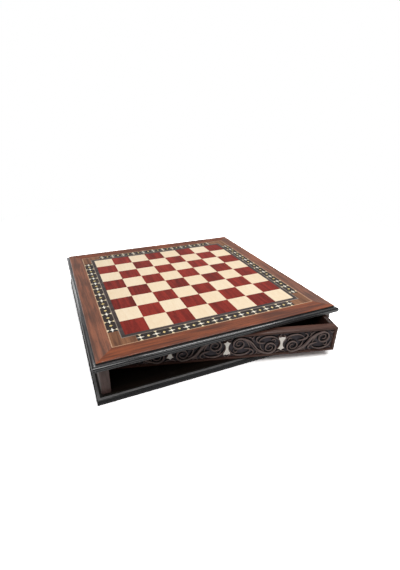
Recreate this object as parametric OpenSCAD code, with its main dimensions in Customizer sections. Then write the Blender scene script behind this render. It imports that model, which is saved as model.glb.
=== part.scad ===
// Chess box with a swivelling drawer on each of two opposite sides.
// Millimetres. Origin: centre of the underside. +X right, -Y front, +Z up.
// The front drawer is shown swung out to its stop, the back one closed.

/* [Playing board] */
// Side of one square of the board
square_side = 44; // [36:1:50]
// Glue line left between two neighbouring squares or strips
glue_line = 0.06; // [0.04:0.01:0.12]
// Thickness of the squares, strips and border boards
overlay_t = 4; // [3:0.5:6]
// Width of the ebony strip round the squares
ebony_w = 6.6; // [4:0.2:10]
// Width of each thin stringing line
stringing_w = 1.4; // [0.8:0.2:2.4]
// Width of the walnut border boards
border_w = 29.6; // [20:0.2:40]
// Radius of the eased top edge of the border boards
border_edge_r = 1; // [0.4:0.2:2]

/* [Mosaic] */
// Width of the mosaic bands
mosaic_w = 18; // [14:0.5:24]
// Plain wood from the end of a band to the outer stringing
mosaic_end = 42; // [30:1:60]
// Depth of the tiles let into the bands
tile_t = 1.2; // [0.8:0.1:2]
// Distance from one star to the next
star_pitch = 27.9; // [24:0.1:34]
// Distance from the middle of a star to its points along the band
star_r = 6; // [4:0.1:6.4]
// Distance from the middle of a star to its points across the band
star_rise = 5.4; // [4:0.1:5.4]
// Distance from the middle of a star to its inner corners
star_waist = 2.4; // [1.4:0.1:3]
// Half length of the amber diamonds, along the band
diamond_r = 4; // [2.4:0.1:5]
// Width of the small triangles at the edges of a band
wedge_w = 7; // [4:0.2:8]
// Height of the small triangles
wedge_h = 3.2; // [2:0.1:3.3]
// Least plain ground between the last star and the end of a band
star_end_gap = 0.5; // [0.2:0.1:2]

/* [Case] */
// Thickness of the core panel under the board
core_t = 9; // [6:0.5:15]
// Clear height between the floor and the core panel
opening_h = 52; // [40:1:70]
// Thickness of the base panel
base_t = 12; // [9:0.5:18]
// Thickness of the felt under the base
base_felt_t = 1; // [0.6:0.2:2]
// Felt's distance from the edge of the base panel
base_felt_inset = 12; // [6:1:30]
// How far the board's edge stands out over the posts
board_overhang = 2.5; // [1:0.5:6]
// Width of the floor's ledge in front of the posts
floor_ledge = 3; // [1.5:0.5:6]
// Width of a corner post, seen from the front
post_w = 15.5; // [12:0.5:24]
// Depth of a corner post, seen from the side
post_depth = 10; // [8:0.5:12]
// Radius of a post's outer corner
post_r = 4; // [2:0.5:7]
// Thickness of the side panels
side_t = 9; // [7:0.5:11]
// Thickness of the divider between the two drawer bays
divider_t = 9; // [6:0.5:15]

/* [Mouldings] */
// Width of the moulding round the board
top_moulding_w = 7; // [6:0.5:10]
// Height of the moulding round the board
top_moulding_h = 9.5; // [8.5:0.5:12]
// Radius of its upper, rounded member
ovolo_r = 4.6; // [3.5:0.1:5]
// Radius of the bead under it
bead_r = 2; // [1.4:0.1:2.4]
// How far the bead lies behind the rounded member
bead_in = 0.3; // [0:0.1:1]
// Height of the groove between the bead and the rounded member
quirk_h = 0.2; // [0.1:0.1:0.6]
// Depth of that groove behind the rounded member
quirk_in = 1.6; // [1:0.1:2.4]
// Width of the moulding round the base
base_moulding_w = 6; // [4.5:0.5:9]
// Height of the moulding round the base
base_moulding_h = 10.2; // [8:0.2:12]
// Radius of the bead along its top
base_bead_r = 1.9; // [1.2:0.1:2.4]
// How far its face lies behind the bead
base_face_in = 0.4; // [0:0.1:1]

/* [Drawers] */
// Angle of the fully swung drawer
open_angle = 14.6; // [8:0.1:15]
// Distance from a drawer's face back to its pivot
pivot_back = 24; // [23:0.5:30]
// Gap to a post where a drawer passes it at its widest
post_gap = 0.8; // [0.5:0.1:2]
// Gap to a side panel where a back corner passes it
side_gap = 1; // [0.5:0.1:3]
// Clear height under the glides of a drawer
run_clear = 0.1; // [0.05:0.05:0.5]
// Thickness of the carved front board
face_t = 16; // [13:0.5:16]
// Thickness of a drawer's side boards
drawer_side_t = 9; // [6:0.5:12]
// Thickness of a drawer's back board
drawer_back_t = 9; // [6:0.5:12]
// Thickness of a drawer's bottom board
bottom_t = 6; // [4:0.5:9]
// Thickness of the felt lining
lining_t = 1; // [0.6:0.2:2]
// Gap round the felt lining
lining_gap = 0.3; // [0.2:0.1:1]
// Gap between the lining and the pin's head
lining_hole_gap = 1; // [0.5:0.5:3]
// Diameter of the glides under a drawer
glide_d = 12; // [8:1:16]
// Thickness of the glides and of the washer on the pivot
glide_t = 0.5; // [0.3:0.1:1]
// Distance of a glide's middle from the bottom board's edges
glide_inset = 12; // [9:1:20]

/* [Carving] */
// Width of the plain rim along the top and bottom of a front
rim_w = 3.9; // [3:0.1:6]
// Width of the plain rim at the ends of a front
end_rim_w = 5; // [4:0.5:9]
// Depth of the carved ground below the rim
carve_depth = 4; // [2:0.5:6]
// How far the scrolls stay below the rim
scroll_below = 0.6; // [0:0.1:1.2]
// Width of a scroll's ridge at its middle
scroll_w = 3.6; // [2.4:0.1:4]
// Turns of each spiral
scroll_turns = 1.6; // [1.1:0.05:1.8]
// Radius of the eye in the middle of a spiral
eye_r = 1.5; // [1:0.1:1.9]
// Height of a bone inlay
inlay_h = 29; // [22:0.5:34]
// Width of a bone inlay at its ends
inlay_w = 12.5; // [9:0.5:15]
// Width of a bone inlay at its waist
inlay_waist = 4.6; // [3:0.2:7]
// Thickness of a bone inlay
inlay_t = 2.2; // [1.2:0.2:3]
// How far an inlay stands out of its seat
inlay_proud = 0.3; // [0:0.1:0.6]
// Width of the wooden seat round an inlay
inlay_seat = 1.4; // [0.8:0.1:2.2]

/* [Pivots] */
// Diameter of the pivot pins
pin_d = 6; // [4:0.5:8]
// Radial running clearance of a pin in its bush
pin_clear = 0.05; // [0.02:0.01:0.1]
// Radial clearance of a fixed pin or bush in its hole
fixed_clear = 0.01; // [0.01:0.01:0.02]
// Depth of a pin's hole in the base panel
pin_hole_depth = 8; // [5:0.5:8.5]
// Clear depth under a pin in its hole
pin_end_gap = 0.3; // [0.2:0.1:1]
// Outer diameter of the bush in a drawer's bottom
bush_d = 10; // [9:0.5:13]
// Diameter of a pin's head
pin_head_d = 12; // [9:0.5:14]
// Thickness of a pin's head
pin_head_t = 2; // [1.2:0.2:3]
// Clear height between the bush and the pin's head
head_gap = 0.3; // [0.2:0.1:0.5]
// Diameter of the washer under a drawer
washer_d = 18; // [12:1:24]

/* [Hidden] */

// Facets of round parts
round_fn = 96;
// Squares along one side of the board
squares_n = 8;

// Half widths of the rings of the board, from the squares outwards
grid_half = squares_n * square_side / 2;
ebony_half = grid_half + ebony_w;
inner_line_half = ebony_half + stringing_w;
mosaic_half = inner_line_half + mosaic_w;
outer_line_half = mosaic_half + stringing_w;
board_half = outer_line_half + border_w;
band_half_len = mosaic_half - mosaic_end;

// Half widths of the case
post_face = board_half - board_overhang;
floor_half = post_face + floor_ledge;
opening_half = post_face - post_w;
side_inner = post_face - side_t;

// Heights
floor_z = base_felt_t + base_t;
core_z = floor_z + opening_h;
board_z = core_z + core_t;
top_z = board_z + overlay_t;

// A drawer is as long as its swing past the posts lets it be
stop_half = (opening_half - post_gap) * cos(open_angle) + (pivot_back - post_depth) * sin(open_angle);
pass_half = sqrt(pow(opening_half - post_gap, 2) - pow(pivot_back, 2));
drawer_half = min(stop_half, pass_half);
// and as deep as its back corners' sweep past the side panels lets it be
drawer_depth = pivot_back + sqrt(pow(side_inner - side_gap, 2) - pow(drawer_half, 2));

// A drawer's own frame has its origin on the pivot, at the case's underside
pivot_y = post_face - pivot_back;
face_y = -pivot_back;
box_y0 = face_y + face_t;
box_y1 = face_y + drawer_depth;
drawer_gap = glide_t + run_clear;
drawer_z0 = floor_z + drawer_gap;
drawer_h = opening_h - 2 * drawer_gap;
lining_z = drawer_z0 + bottom_t;
inner_half = drawer_half - drawer_side_t;
inner_y1 = box_y1 - drawer_back_t;

// The carved field is four panels long, with an inlay between each two
panels_n = 4;
panel_w = 2 * (drawer_half - end_rim_w) / panels_n;
field_h = drawer_h - 2 * rim_w;
ground_y = face_y + carve_depth;

// ---- Shapes shared by several pieces ----

// Turns a piece of the front (side 0) to the right, back or left (1, 2, 3).
module on_side(side) {
    rotate([0, 0, 90 * side]) children();
}

// One mitred strip of a square ring, along the front.
module ring_strip(inner, outer, z, height) {
    slack = glue_line / 2;
    translate([0, 0, z])
        linear_extrude(height)
            polygon([[slack - inner, -inner], [inner - slack, -inner],
                     [outer - slack, -outer], [slack - outer, -outer]]);
}

// The quarter of the plan in which a front piece lies, up to its mitres.
module mitre_quarter(reach, z, height) {
    translate([0, -glue_line / 2, z])
        linear_extrude(height)
            polygon([[0, 0], [-reach, -reach], [reach, -reach]]);
}

// A moulding along the front: a profile drawn outwards from radius r0.
module mitred_run(r0, width, z, height) {
    reach = r0 + 2 * width;
    intersection() {
        translate([0, -r0, z])
            rotate([90, 0, -90])
                linear_extrude(2 * reach, center = true) children();
        mitre_quarter(reach, z - 1, height + 2);
    }
}

// ---- Case ----

module base_felt() {
    half = floor_half - base_felt_inset;
    color("black")
        translate([-half, -half, 0]) cube([2 * half, 2 * half, base_felt_t]);
}

module base_panel() {
    color([0.16, 0.10, 0.07])
        difference() {
            translate([-floor_half, -floor_half, base_felt_t])
                cube([2 * floor_half, 2 * floor_half, base_t]);
            for (side = [0, 2])
                on_side(side)
                    translate([0, -pivot_y, floor_z - pin_hole_depth])
                        cylinder(d = pin_d + 2 * fixed_clear, h = pin_hole_depth + 1, $fn = round_fn);
        }
}

module base_profile() {
    neck_h = base_moulding_h - 2 * base_bead_r;
    square([base_moulding_w - base_face_in, neck_h]);
    square([base_moulding_w - base_bead_r, base_moulding_h]);
    translate([base_moulding_w - base_bead_r, base_moulding_h - base_bead_r])
        circle(base_bead_r, $fn = round_fn);
}

module base_moulding(side) {
    color([0.07, 0.07, 0.08])
        on_side(side)
            mitred_run(floor_half, base_moulding_w, 0, base_moulding_h) base_profile();
}

module top_profile() {
    ovolo_z = top_moulding_h - ovolo_r;
    quirk_z = 2 * bead_r + quirk_h;
    square([top_moulding_w - ovolo_r, top_moulding_h]);
    square([top_moulding_w - quirk_in, ovolo_z]);
    translate([top_moulding_w - bead_in - bead_r, bead_r]) circle(bead_r, $fn = round_fn);
    intersection() {
        translate([top_moulding_w - ovolo_r, ovolo_z]) circle(ovolo_r, $fn = round_fn);
        translate([0, quirk_z]) square([top_moulding_w, top_moulding_h]);
    }
}

module top_moulding(side) {
    color([0.08, 0.08, 0.09])
        on_side(side)
            mitred_run(board_half, top_moulding_w, core_z, top_moulding_h) top_profile();
}

// A corner post stands at the right end of the front; mirrored, at the left.
module post(side, mirrored) {
    color([0.26, 0.19, 0.16])
        on_side(side)
            mirror([mirrored ? 1 : 0, 0, 0])
                translate([0, 0, floor_z])
                    linear_extrude(opening_h) {
                        translate([opening_half, -post_face + post_r])
                            square([post_w, post_depth - post_r]);
                        translate([opening_half, -post_face])
                            square([post_w - post_r, post_r]);
                        translate([post_face - post_r, -post_face + post_r])
                            circle(post_r, $fn = round_fn);
                    }
}

module side_panel(side) {
    len = 2 * (post_face - post_depth);
    color([0.26, 0.19, 0.16])
        on_side(side)
            translate([-len / 2, -post_face, floor_z]) cube([len, side_t, opening_h]);
}

module centre_divider() {
    color([0.30, 0.20, 0.14])
        translate([-side_inner, -divider_t / 2, floor_z])
            cube([2 * side_inner, divider_t, opening_h]);
}

module core_panel() {
    color([0.45, 0.33, 0.22])
        translate([-board_half, -board_half, core_z])
            cube([2 * board_half, 2 * board_half, core_t]);
}

// ---- Playing board ----

module border_board(side) {
    color([0.42, 0.20, 0.13])
        on_side(side)
            mitred_run(outer_line_half, border_w, board_z, overlay_t) {
                square([border_w, overlay_t - border_edge_r]);
                square([border_w - border_edge_r, overlay_t]);
                translate([border_w - border_edge_r, overlay_t - border_edge_r])
                    circle(border_edge_r, $fn = round_fn);
            }
}

module ring(inner, outer) {
    for (side = [0:3])
        on_side(side) ring_strip(inner, outer, board_z, overlay_t);
}

module outer_stringing() {
    color([0.80, 0.62, 0.45]) ring(mosaic_half, outer_line_half);
}

module inner_stringing() {
    color([0.62, 0.56, 0.50]) ring(ebony_half, inner_line_half);
}

module ebony_strips() {
    color([0.17, 0.15, 0.15]) ring(grid_half, ebony_half);
}

module corner_blocks() {
    color([0.36, 0.22, 0.16])
        for (side = [0:3])
            on_side(side)
                translate([0, 0, board_z])
                    linear_extrude(overlay_t)
                        polygon([[band_half_len, -inner_line_half],
                                 [inner_line_half, -inner_line_half],
                                 [inner_line_half, -band_half_len],
                                 [mosaic_half, -band_half_len],
                                 [mosaic_half, -mosaic_half],
                                 [band_half_len, -mosaic_half]]);
}

module squares(parity) {
    tile = square_side - glue_line;
    for (column = [0:squares_n - 1], row = [0:squares_n - 1])
        if ((column + row) % 2 == parity)
            translate([(column + 0.5) * square_side - grid_half - tile / 2,
                       grid_half - (row + 0.5) * square_side - tile / 2, board_z])
                cube([tile, tile, overlay_t]);
}

module light_squares() {
    color([0.93, 0.80, 0.62]) squares(0);
}

module dark_squares() {
    color([0.42, 0.09, 0.08]) squares(1);
}

// Whole pitches of the pattern that fit between the first and last star
pitches_n = floor(2 * (band_half_len - star_r - star_end_gap) / star_pitch);
star_xs = [for (i = [0:pitches_n]) (i - pitches_n / 2) * star_pitch];
diamond_xs = [for (i = [0:pitches_n - 1]) (i + 0.5 - pitches_n / 2) * star_pitch];
band_y = -(inner_line_half + mosaic_half) / 2;

star_reach = [star_r, star_waist, star_rise, star_waist];
star_points = [for (k = [0:7]) star_reach[k % 4] * [cos(45 * k), sin(45 * k)]];

// Outlines of the tiles of one band, along the front.
module star_outlines() {
    for (x = star_xs)
        translate([x, band_y]) polygon(star_points);
}

module wedge_outlines() {
    for (x = star_xs, way = [-1, 1])
        translate([x, band_y])
            polygon([[-wedge_w / 2, way * mosaic_w / 2], [wedge_w / 2, way * mosaic_w / 2],
                     [0, way * (mosaic_w / 2 - wedge_h)]]);
}

module diamond_outlines() {
    for (x = diamond_xs)
        translate([x, band_y])
            polygon([[-diamond_r, 0], [0, -0.8 * diamond_r], [diamond_r, 0], [0, 0.8 * diamond_r]]);
}

module mosaic_band(side) {
    color([0.16, 0.12, 0.11])
        on_side(side)
            difference() {
                translate([-band_half_len, -mosaic_half, board_z])
                    cube([2 * band_half_len, mosaic_w, overlay_t]);
                translate([0, 0, top_z - tile_t])
                    linear_extrude(tile_t + 1) {
                        star_outlines();
                        wedge_outlines();
                        diamond_outlines();
                    }
            }
}

module ivory_tiles() {
    color([0.95, 0.92, 0.82])
        for (side = [0:3])
            on_side(side)
                translate([0, 0, top_z - tile_t])
                    linear_extrude(tile_t) {
                        star_outlines();
                        wedge_outlines();
                    }
}

module amber_tiles() {
    color([0.86, 0.66, 0.27])
        for (side = [0:3])
            on_side(side)
                translate([0, 0, top_z - tile_t])
                    linear_extrude(tile_t) diamond_outlines();
}

// ---- Pivots ----

module pivot_pin(side) {
    shank_z = floor_z - pin_hole_depth + pin_end_gap;
    head_z = lining_z + head_gap;
    color("goldenrod")
        on_side(side)
            translate([0, -pivot_y, 0]) {
                translate([0, 0, shank_z]) cylinder(d = pin_d, h = head_z - shank_z, $fn = round_fn);
                translate([0, 0, head_z]) cylinder(d = pin_head_d, h = pin_head_t, $fn = round_fn);
            }
}

module pivot_washer(side) {
    color("silver")
        on_side(side)
            translate([0, -pivot_y, floor_z])
                difference() {
                    cylinder(d = washer_d, h = glide_t, $fn = round_fn);
                    translate([0, 0, -1])
                        cylinder(d = pin_d + 2 * pin_clear, h = glide_t + 2, $fn = round_fn);
                }
}

// ---- Drawers ----

// Puts a drawer's piece on its pivot, turned by the given angle.
module drawer_place(side, angle) {
    on_side(side)
        translate([0, -pivot_y, 0])
            rotate([0, 0, -angle]) children();
}

function angle_of(side) = side == 0 ? open_angle : 0;

// Points of a cubic curve through four control points.
function curve(a, b, c, d, steps) =
    [for (i = [0:steps])
        let (t = i / steps, s = 1 - t)
            s * s * s * a + 3 * s * s * t * b + 3 * s * t * t * c + t * t * t * d];

// Points of a spiral about the origin, from radius r0 to r1.
function spiral(r0, r1, from, sweep, steps) =
    [for (i = [0:steps])
        let (t = i / steps, r = r0 + (r1 - r0) * t, a = from + sweep * t)
            r * [cos(a), sin(a)]];

function shifted(points, by) = [for (p = points) p + by];

function joined(first, second) =
    concat(first, [for (i = [1:len(second) - 1]) second[i]]);

function unit(v) = v / norm(v);

// Unit normal of a path at point i.
function path_normal(path, i) =
    let (a = path[max(i - 1, 0)], b = path[min(i + 1, len(path) - 1)], d = unit(b - a))
        [-d[1], d[0]];

// A ridge that follows a path, narrower at both ends.
module ridge(path, width, end_share) {
    last = len(path) - 1;
    half = [for (i = [0:last])
        width / 2 * (end_share + (1 - end_share) * sin(180 * i / last))];
    polygon(concat([for (i = [0:last]) path[i] + half[i] * path_normal(path, i)],
                   [for (i = [last:-1:0]) path[i] - half[i] * path_normal(path, i)]));
}

// A point of the panel, in fractions of its width and of the field's height.
function at(x, y) = [x * panel_w, y * field_h];

// The panel's scroll runs from the eye of the lower left spiral to that of the upper right one.
spiral_r = 0.288 * field_h;
spiral_c = at(0.284, 0.153);
spiral_eye = 0.17;
stem_pull = 0.33 * panel_w;
leave_angle = -75;
left_spiral = shifted(spiral(spiral_eye * spiral_r, spiral_r, leave_angle - 360 * scroll_turns,
                             360 * scroll_turns, 28), -spiral_c);
stem_from = left_spiral[len(left_spiral) - 1];
stem_way = [cos(leave_angle + 90), sin(leave_angle + 90)];
stem = curve(stem_from, stem_from + stem_pull * stem_way,
             -stem_from - stem_pull * stem_way, -stem_from, 8);
right_spiral = [for (i = [len(left_spiral) - 1:-1:0]) -left_spiral[i]];
s_scroll = joined(joined(left_spiral, stem), right_spiral);

// The smaller ridges round the lower left spiral, each with its share of the scroll's width.
leaf = joined(curve(at(-0.455, 0.08), at(-0.43, 0.33), at(-0.33, 0.42), at(-0.235, 0.41), 6),
              curve(at(-0.235, 0.41), at(-0.15, 0.40), at(-0.075, 0.29), at(-0.080, 0.16), 5));
side_leaves = [
    [leaf, 0.72],
    [curve(at(-0.080, 0.43), at(0.015, 0.42), at(0.010, 0.08), at(-0.190, 0.095), 7), 0.80],
    [curve(at(-0.375, 0.10), at(-0.400, 0.28), at(-0.310, 0.30), at(-0.315, 0.17), 6), 0.62],
    [curve(at(-0.095, 0.07), at(-0.100, -0.09), at(-0.130, -0.22), at(-0.185, -0.30), 5), 0.74],
    [curve(at(0.015, 0.46), at(0.060, 0.40), at(0.055, 0.30), at(0.020, 0.22), 4), 0.52],
    [curve(at(-0.485, 0.47), at(-0.460, 0.40), at(-0.440, 0.34), at(-0.410, 0.31), 4), 0.50],
    [curve(at(-0.470, -0.02), at(-0.475, -0.12), at(-0.455, -0.20), at(-0.425, -0.24), 4), 0.42],
    [curve(at(-0.490, -0.40), at(-0.455, -0.34), at(-0.430, -0.40), at(-0.400, -0.47), 4), 0.52],
    [curve(at(-0.120, -0.45), at(-0.080, -0.44), at(-0.050, -0.38), at(-0.035, -0.28), 4), 0.50],
];

// One carved panel: the S scroll with its eyes, and the leaves on both sides of it.
module scroll_panel() {
    ridge(s_scroll, scroll_w, 0.62);
    for (turn = [0, 180])
        rotate(turn) {
            translate(s_scroll[0]) circle(eye_r, $fn = 20);
            for (side_leaf = side_leaves) ridge(side_leaf[0], side_leaf[1] * scroll_w, 0.3);
        }
}

// Half outline of an inlay, upwards from its waist, with a margin round it.
function inlay_half(margin, tip) =
    let (w = inlay_w / 2 + margin, n = inlay_waist / 2 + margin, h = inlay_h / 2 + margin,
         arc = curve([n, 0], [n, 0.42 * h], [0.72 * w, 0.52 * h], [w, 0.74 * h], 6))
        concat(arc, tip == "point"
            ? [[0.45 * w, 0.80 * h], [0, h]]
            : [[0.95 * w, h], [0.5 * w, 0.93 * h], [0, h]]);

function mirrored_x(points) = [for (i = [len(points) - 1:-1:0]) [-points[i][0], points[i][1]]];

// Whole outline: a point at one end and a crown at the other.
module inlay_outline(margin) {
    for (tip = ["point", "crown"]) {
        half = inlay_half(margin, tip);
        rotate(tip == "point" ? 0 : 180) polygon(concat(half, mirrored_x(half)));
    }
}

// Stands a flat drawing up against the ground of the carved field.
module on_ground(depth_from, thickness) {
    translate([0, depth_from, drawer_z0 + drawer_h / 2])
        rotate([90, 0, 0])
            linear_extrude(thickness) children();
}

inlay_xs = [for (i = [1:panels_n - 1]) (i - panels_n / 2) * panel_w];

module each_inlay() {
    for (i = [0:len(inlay_xs) - 1])
        translate([inlay_xs[i], 0]) rotate(i % 2 == 0 ? 180 : 0) children();
}

// The front board, with its field cut back to the carved ground.
module sunk_board() {
    difference() {
        translate([-drawer_half, face_y, drawer_z0])
            cube([2 * drawer_half, face_t, drawer_h]);
        translate([-drawer_half + end_rim_w, face_y - 1, drawer_z0 + rim_w])
            cube([panels_n * panel_w, carve_depth + 1, field_h]);
    }
}

// The inlays' outlines as solids, from their backs outwards.
module inlay_solids(thickness) {
    on_ground(face_y + inlay_t - inlay_proud, thickness) each_inlay() inlay_outline(0);
}

module drawer_face(side) {
    sunk = 0.5;
    color([0.22, 0.14, 0.11])
        drawer_place(side, angle_of(side))
            difference() {
                union() {
                    sunk_board();
                    for (i = [0:panels_n - 1])
                        on_ground(ground_y + sunk, carve_depth - scroll_below + sunk)
                            translate([(i + 0.5 - panels_n / 2) * panel_w, 0])
                                mirror([i % 2 == 0 ? 1 : 0, 0]) scroll_panel();
                    on_ground(ground_y + sunk, carve_depth + sunk)
                        each_inlay() inlay_outline(inlay_seat);
                }
                inlay_solids(inlay_t + 1);
            }
}

module drawer_inlays(side) {
    color([0.93, 0.90, 0.84])
        drawer_place(side, angle_of(side))
            inlay_solids(inlay_t);
}

module drawer_side(side, way) {
    x0 = way < 0 ? -drawer_half : inner_half;
    color([0.24, 0.14, 0.10])
        drawer_place(side, angle_of(side))
            translate([x0, box_y0, drawer_z0])
                cube([drawer_side_t, box_y1 - box_y0, drawer_h]);
}

module drawer_back(side) {
    color([0.24, 0.14, 0.10])
        drawer_place(side, angle_of(side))
            translate([-inner_half, inner_y1, drawer_z0])
                cube([2 * inner_half, drawer_back_t, drawer_h]);
}

module drawer_bottom(side) {
    color([0.30, 0.20, 0.14])
        drawer_place(side, angle_of(side))
            difference() {
                translate([-inner_half, box_y0, drawer_z0])
                    cube([2 * inner_half, inner_y1 - box_y0, bottom_t]);
                translate([0, 0, drawer_z0 - 1])
                    cylinder(d = bush_d + 2 * fixed_clear, h = bottom_t + 2, $fn = round_fn);
            }
}

module drawer_lining(side) {
    hole_d = pin_head_d + 2 * lining_hole_gap;
    color([0.12, 0.10, 0.10])
        drawer_place(side, angle_of(side))
            difference() {
                translate([lining_gap - inner_half, box_y0 + lining_gap, lining_z])
                    cube([2 * (inner_half - lining_gap), inner_y1 - box_y0 - 2 * lining_gap, lining_t]);
                translate([0, 0, lining_z - 1])
                    cylinder(d = hole_d, h = lining_t + 2, $fn = round_fn);
            }
}

module drawer_bush(side) {
    color("goldenrod")
        drawer_place(side, angle_of(side))
            translate([0, 0, drawer_z0])
                difference() {
                    cylinder(d = bush_d, h = bottom_t, $fn = round_fn);
                    translate([0, 0, -1])
                        cylinder(d = pin_d + 2 * pin_clear, h = bottom_t + 2, $fn = round_fn);
                }
}

module drawer_glides(side) {
    color("dimgray")
        drawer_place(side, angle_of(side))
            for (x = [-1, 1] * (inner_half - glide_inset),
                 y = [box_y0 + glide_inset, inner_y1 - glide_inset])
                translate([x, y, drawer_z0 - glide_t])
                    cylinder(d = glide_d, h = glide_t, $fn = round_fn);
}

base_felt();
base_panel();
base_moulding(0);  // base_moulding_front
base_moulding(1);  // base_moulding_right
base_moulding(2);  // base_moulding_back
base_moulding(3);  // base_moulding_left
post(0, true);  // post_front_left
post(0, false);  // post_front_right
post(2, true);  // post_back_right
post(2, false);  // post_back_left
side_panel(3);  // side_panel_left
side_panel(1);  // side_panel_right
centre_divider();
core_panel();
top_moulding(0);  // top_moulding_front
top_moulding(1);  // top_moulding_right
top_moulding(2);  // top_moulding_back
top_moulding(3);  // top_moulding_left
border_board(0);  // border_front
border_board(1);  // border_right
border_board(2);  // border_back
border_board(3);  // border_left
corner_blocks();
outer_stringing();
inner_stringing();
ebony_strips();
mosaic_band(0);  // mosaic_front
mosaic_band(1);  // mosaic_right
mosaic_band(2);  // mosaic_back
mosaic_band(3);  // mosaic_left
ivory_tiles();
amber_tiles();
light_squares();
dark_squares();
pivot_pin(0);  // front_pivot_pin
pivot_pin(2);  // back_pivot_pin
pivot_washer(0);  // front_pivot_washer
pivot_washer(2);  // back_pivot_washer
drawer_face(0);  // front_drawer_face
drawer_inlays(0);  // front_drawer_inlays
drawer_side(0, -1);  // front_drawer_left_side
drawer_side(0, 1);  // front_drawer_right_side
drawer_back(0);  // front_drawer_back
drawer_bottom(0);  // front_drawer_bottom
drawer_lining(0);  // front_drawer_lining
drawer_bush(0);  // front_drawer_bush
drawer_glides(0);  // front_drawer_glides
drawer_face(2);  // back_drawer_face
drawer_inlays(2);  // back_drawer_inlays
drawer_side(2, -1);  // back_drawer_left_side
drawer_side(2, 1);  // back_drawer_right_side
drawer_back(2);  // back_drawer_back
drawer_bottom(2);  // back_drawer_bottom
drawer_lining(2);  // back_drawer_lining
drawer_bush(2);  // back_drawer_bush
drawer_glides(2);  // back_drawer_glides
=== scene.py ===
"""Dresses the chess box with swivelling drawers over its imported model.

Every length is in metres in the model's own frame: the origin is the middle of the underside, +X is right,
-Y is the front and +Z is up.
"""
import logging
import math
from collections.abc import Callable, Sequence
from dataclasses import dataclass, field, replace
from enum import Enum
from itertools import product
from typing import ClassVar

import bmesh
import bpy
from mathutils import Matrix, Vector


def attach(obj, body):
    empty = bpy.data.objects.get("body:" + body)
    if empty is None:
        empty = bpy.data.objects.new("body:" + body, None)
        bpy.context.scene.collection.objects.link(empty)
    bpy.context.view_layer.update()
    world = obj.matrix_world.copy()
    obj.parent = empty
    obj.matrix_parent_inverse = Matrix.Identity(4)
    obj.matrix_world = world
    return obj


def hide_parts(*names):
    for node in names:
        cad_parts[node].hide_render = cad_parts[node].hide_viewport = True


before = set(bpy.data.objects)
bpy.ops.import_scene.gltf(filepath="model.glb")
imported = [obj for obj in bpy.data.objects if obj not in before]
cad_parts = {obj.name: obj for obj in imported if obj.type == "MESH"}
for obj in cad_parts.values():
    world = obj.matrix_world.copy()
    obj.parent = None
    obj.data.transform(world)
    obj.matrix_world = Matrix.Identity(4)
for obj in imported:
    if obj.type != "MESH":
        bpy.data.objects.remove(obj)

log = logging.getLogger("chess_box")
MM = 0.001
Colour = tuple[float, float, float]
Point = tuple[float, float]
Place = tuple[float, float, float]

WHITE = (1.0, 1.0, 1.0, 1.0)
WELD = 0.001 * MM               # corners nearer than this are one
FLAT = math.radians(0.5)        # faces that bend less than this are one
PIVOT_Y = 206.5 * MM            # from the middle of the case to a drawer's pivot
SWING = math.radians(14.6)      # from closed to either limit of a drawer


# ---- Node trees ----


@dataclass(frozen=True)
class Wire:
    """An output socket that takes part in Python sums, each of which adds its Math node."""

    graph: "Graph"
    socket: bpy.types.NodeSocket

    def _math(self, operation: str, *terms: "Wire | float") -> "Wire":
        """Adds one Math node over the terms.

        Args:
            operation: Name of the Math node's operation.
            *terms: Its inputs, in order.

        Returns:
            The node's value.
        """
        return self.graph.add("ShaderNodeMath", {"operation": operation}, dict(enumerate(terms)))

    def __add__(self, other: "Wire | float") -> "Wire":
        """Sum."""
        return self._math("ADD", self, other)

    __radd__ = __add__

    def __sub__(self, other: "Wire | float") -> "Wire":
        """Difference."""
        return self._math("SUBTRACT", self, other)

    def __rsub__(self, other: float) -> "Wire":
        """Difference with the number on the left."""
        return self._math("SUBTRACT", other, self)

    def __mul__(self, other: "Wire | float") -> "Wire":
        """Product."""
        return self._math("MULTIPLY", self, other)

    __rmul__ = __mul__

    def __truediv__(self, other: "Wire | float") -> "Wire":
        """Quotient."""
        return self._math("DIVIDE", self, other)

    def __mod__(self, other: "Wire | float") -> "Wire":
        """Remainder."""
        return self._math("MODULO", self, other)

    def sine(self) -> "Wire":
        """Sine of an angle in radians."""
        return self._math("SINE", self)

    def floored(self) -> "Wire":
        """Largest whole number that isn't above the value."""
        return self._math("FLOOR", self)

    def at_least(self, other: "Wire | float") -> "Wire":
        """The larger of the two."""
        return self._math("MAXIMUM", self, other)

    def at_most(self, other: "Wire | float") -> "Wire":
        """The smaller of the two."""
        return self._math("MINIMUM", self, other)

    def ramped(self, low: float, high: float) -> "Wire":
        """A smooth step.

        Args:
            low: Value at which the step starts, where the result is 0.
            high: Value at which it ends, where the result is 1.

        Returns:
            The step's value, from 0 to 1.
        """
        return self.graph.add("ShaderNodeMapRange", {"interpolation_type": "SMOOTHSTEP"},
                              {"Value": self, "From Min": low, "From Max": high})


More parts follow.
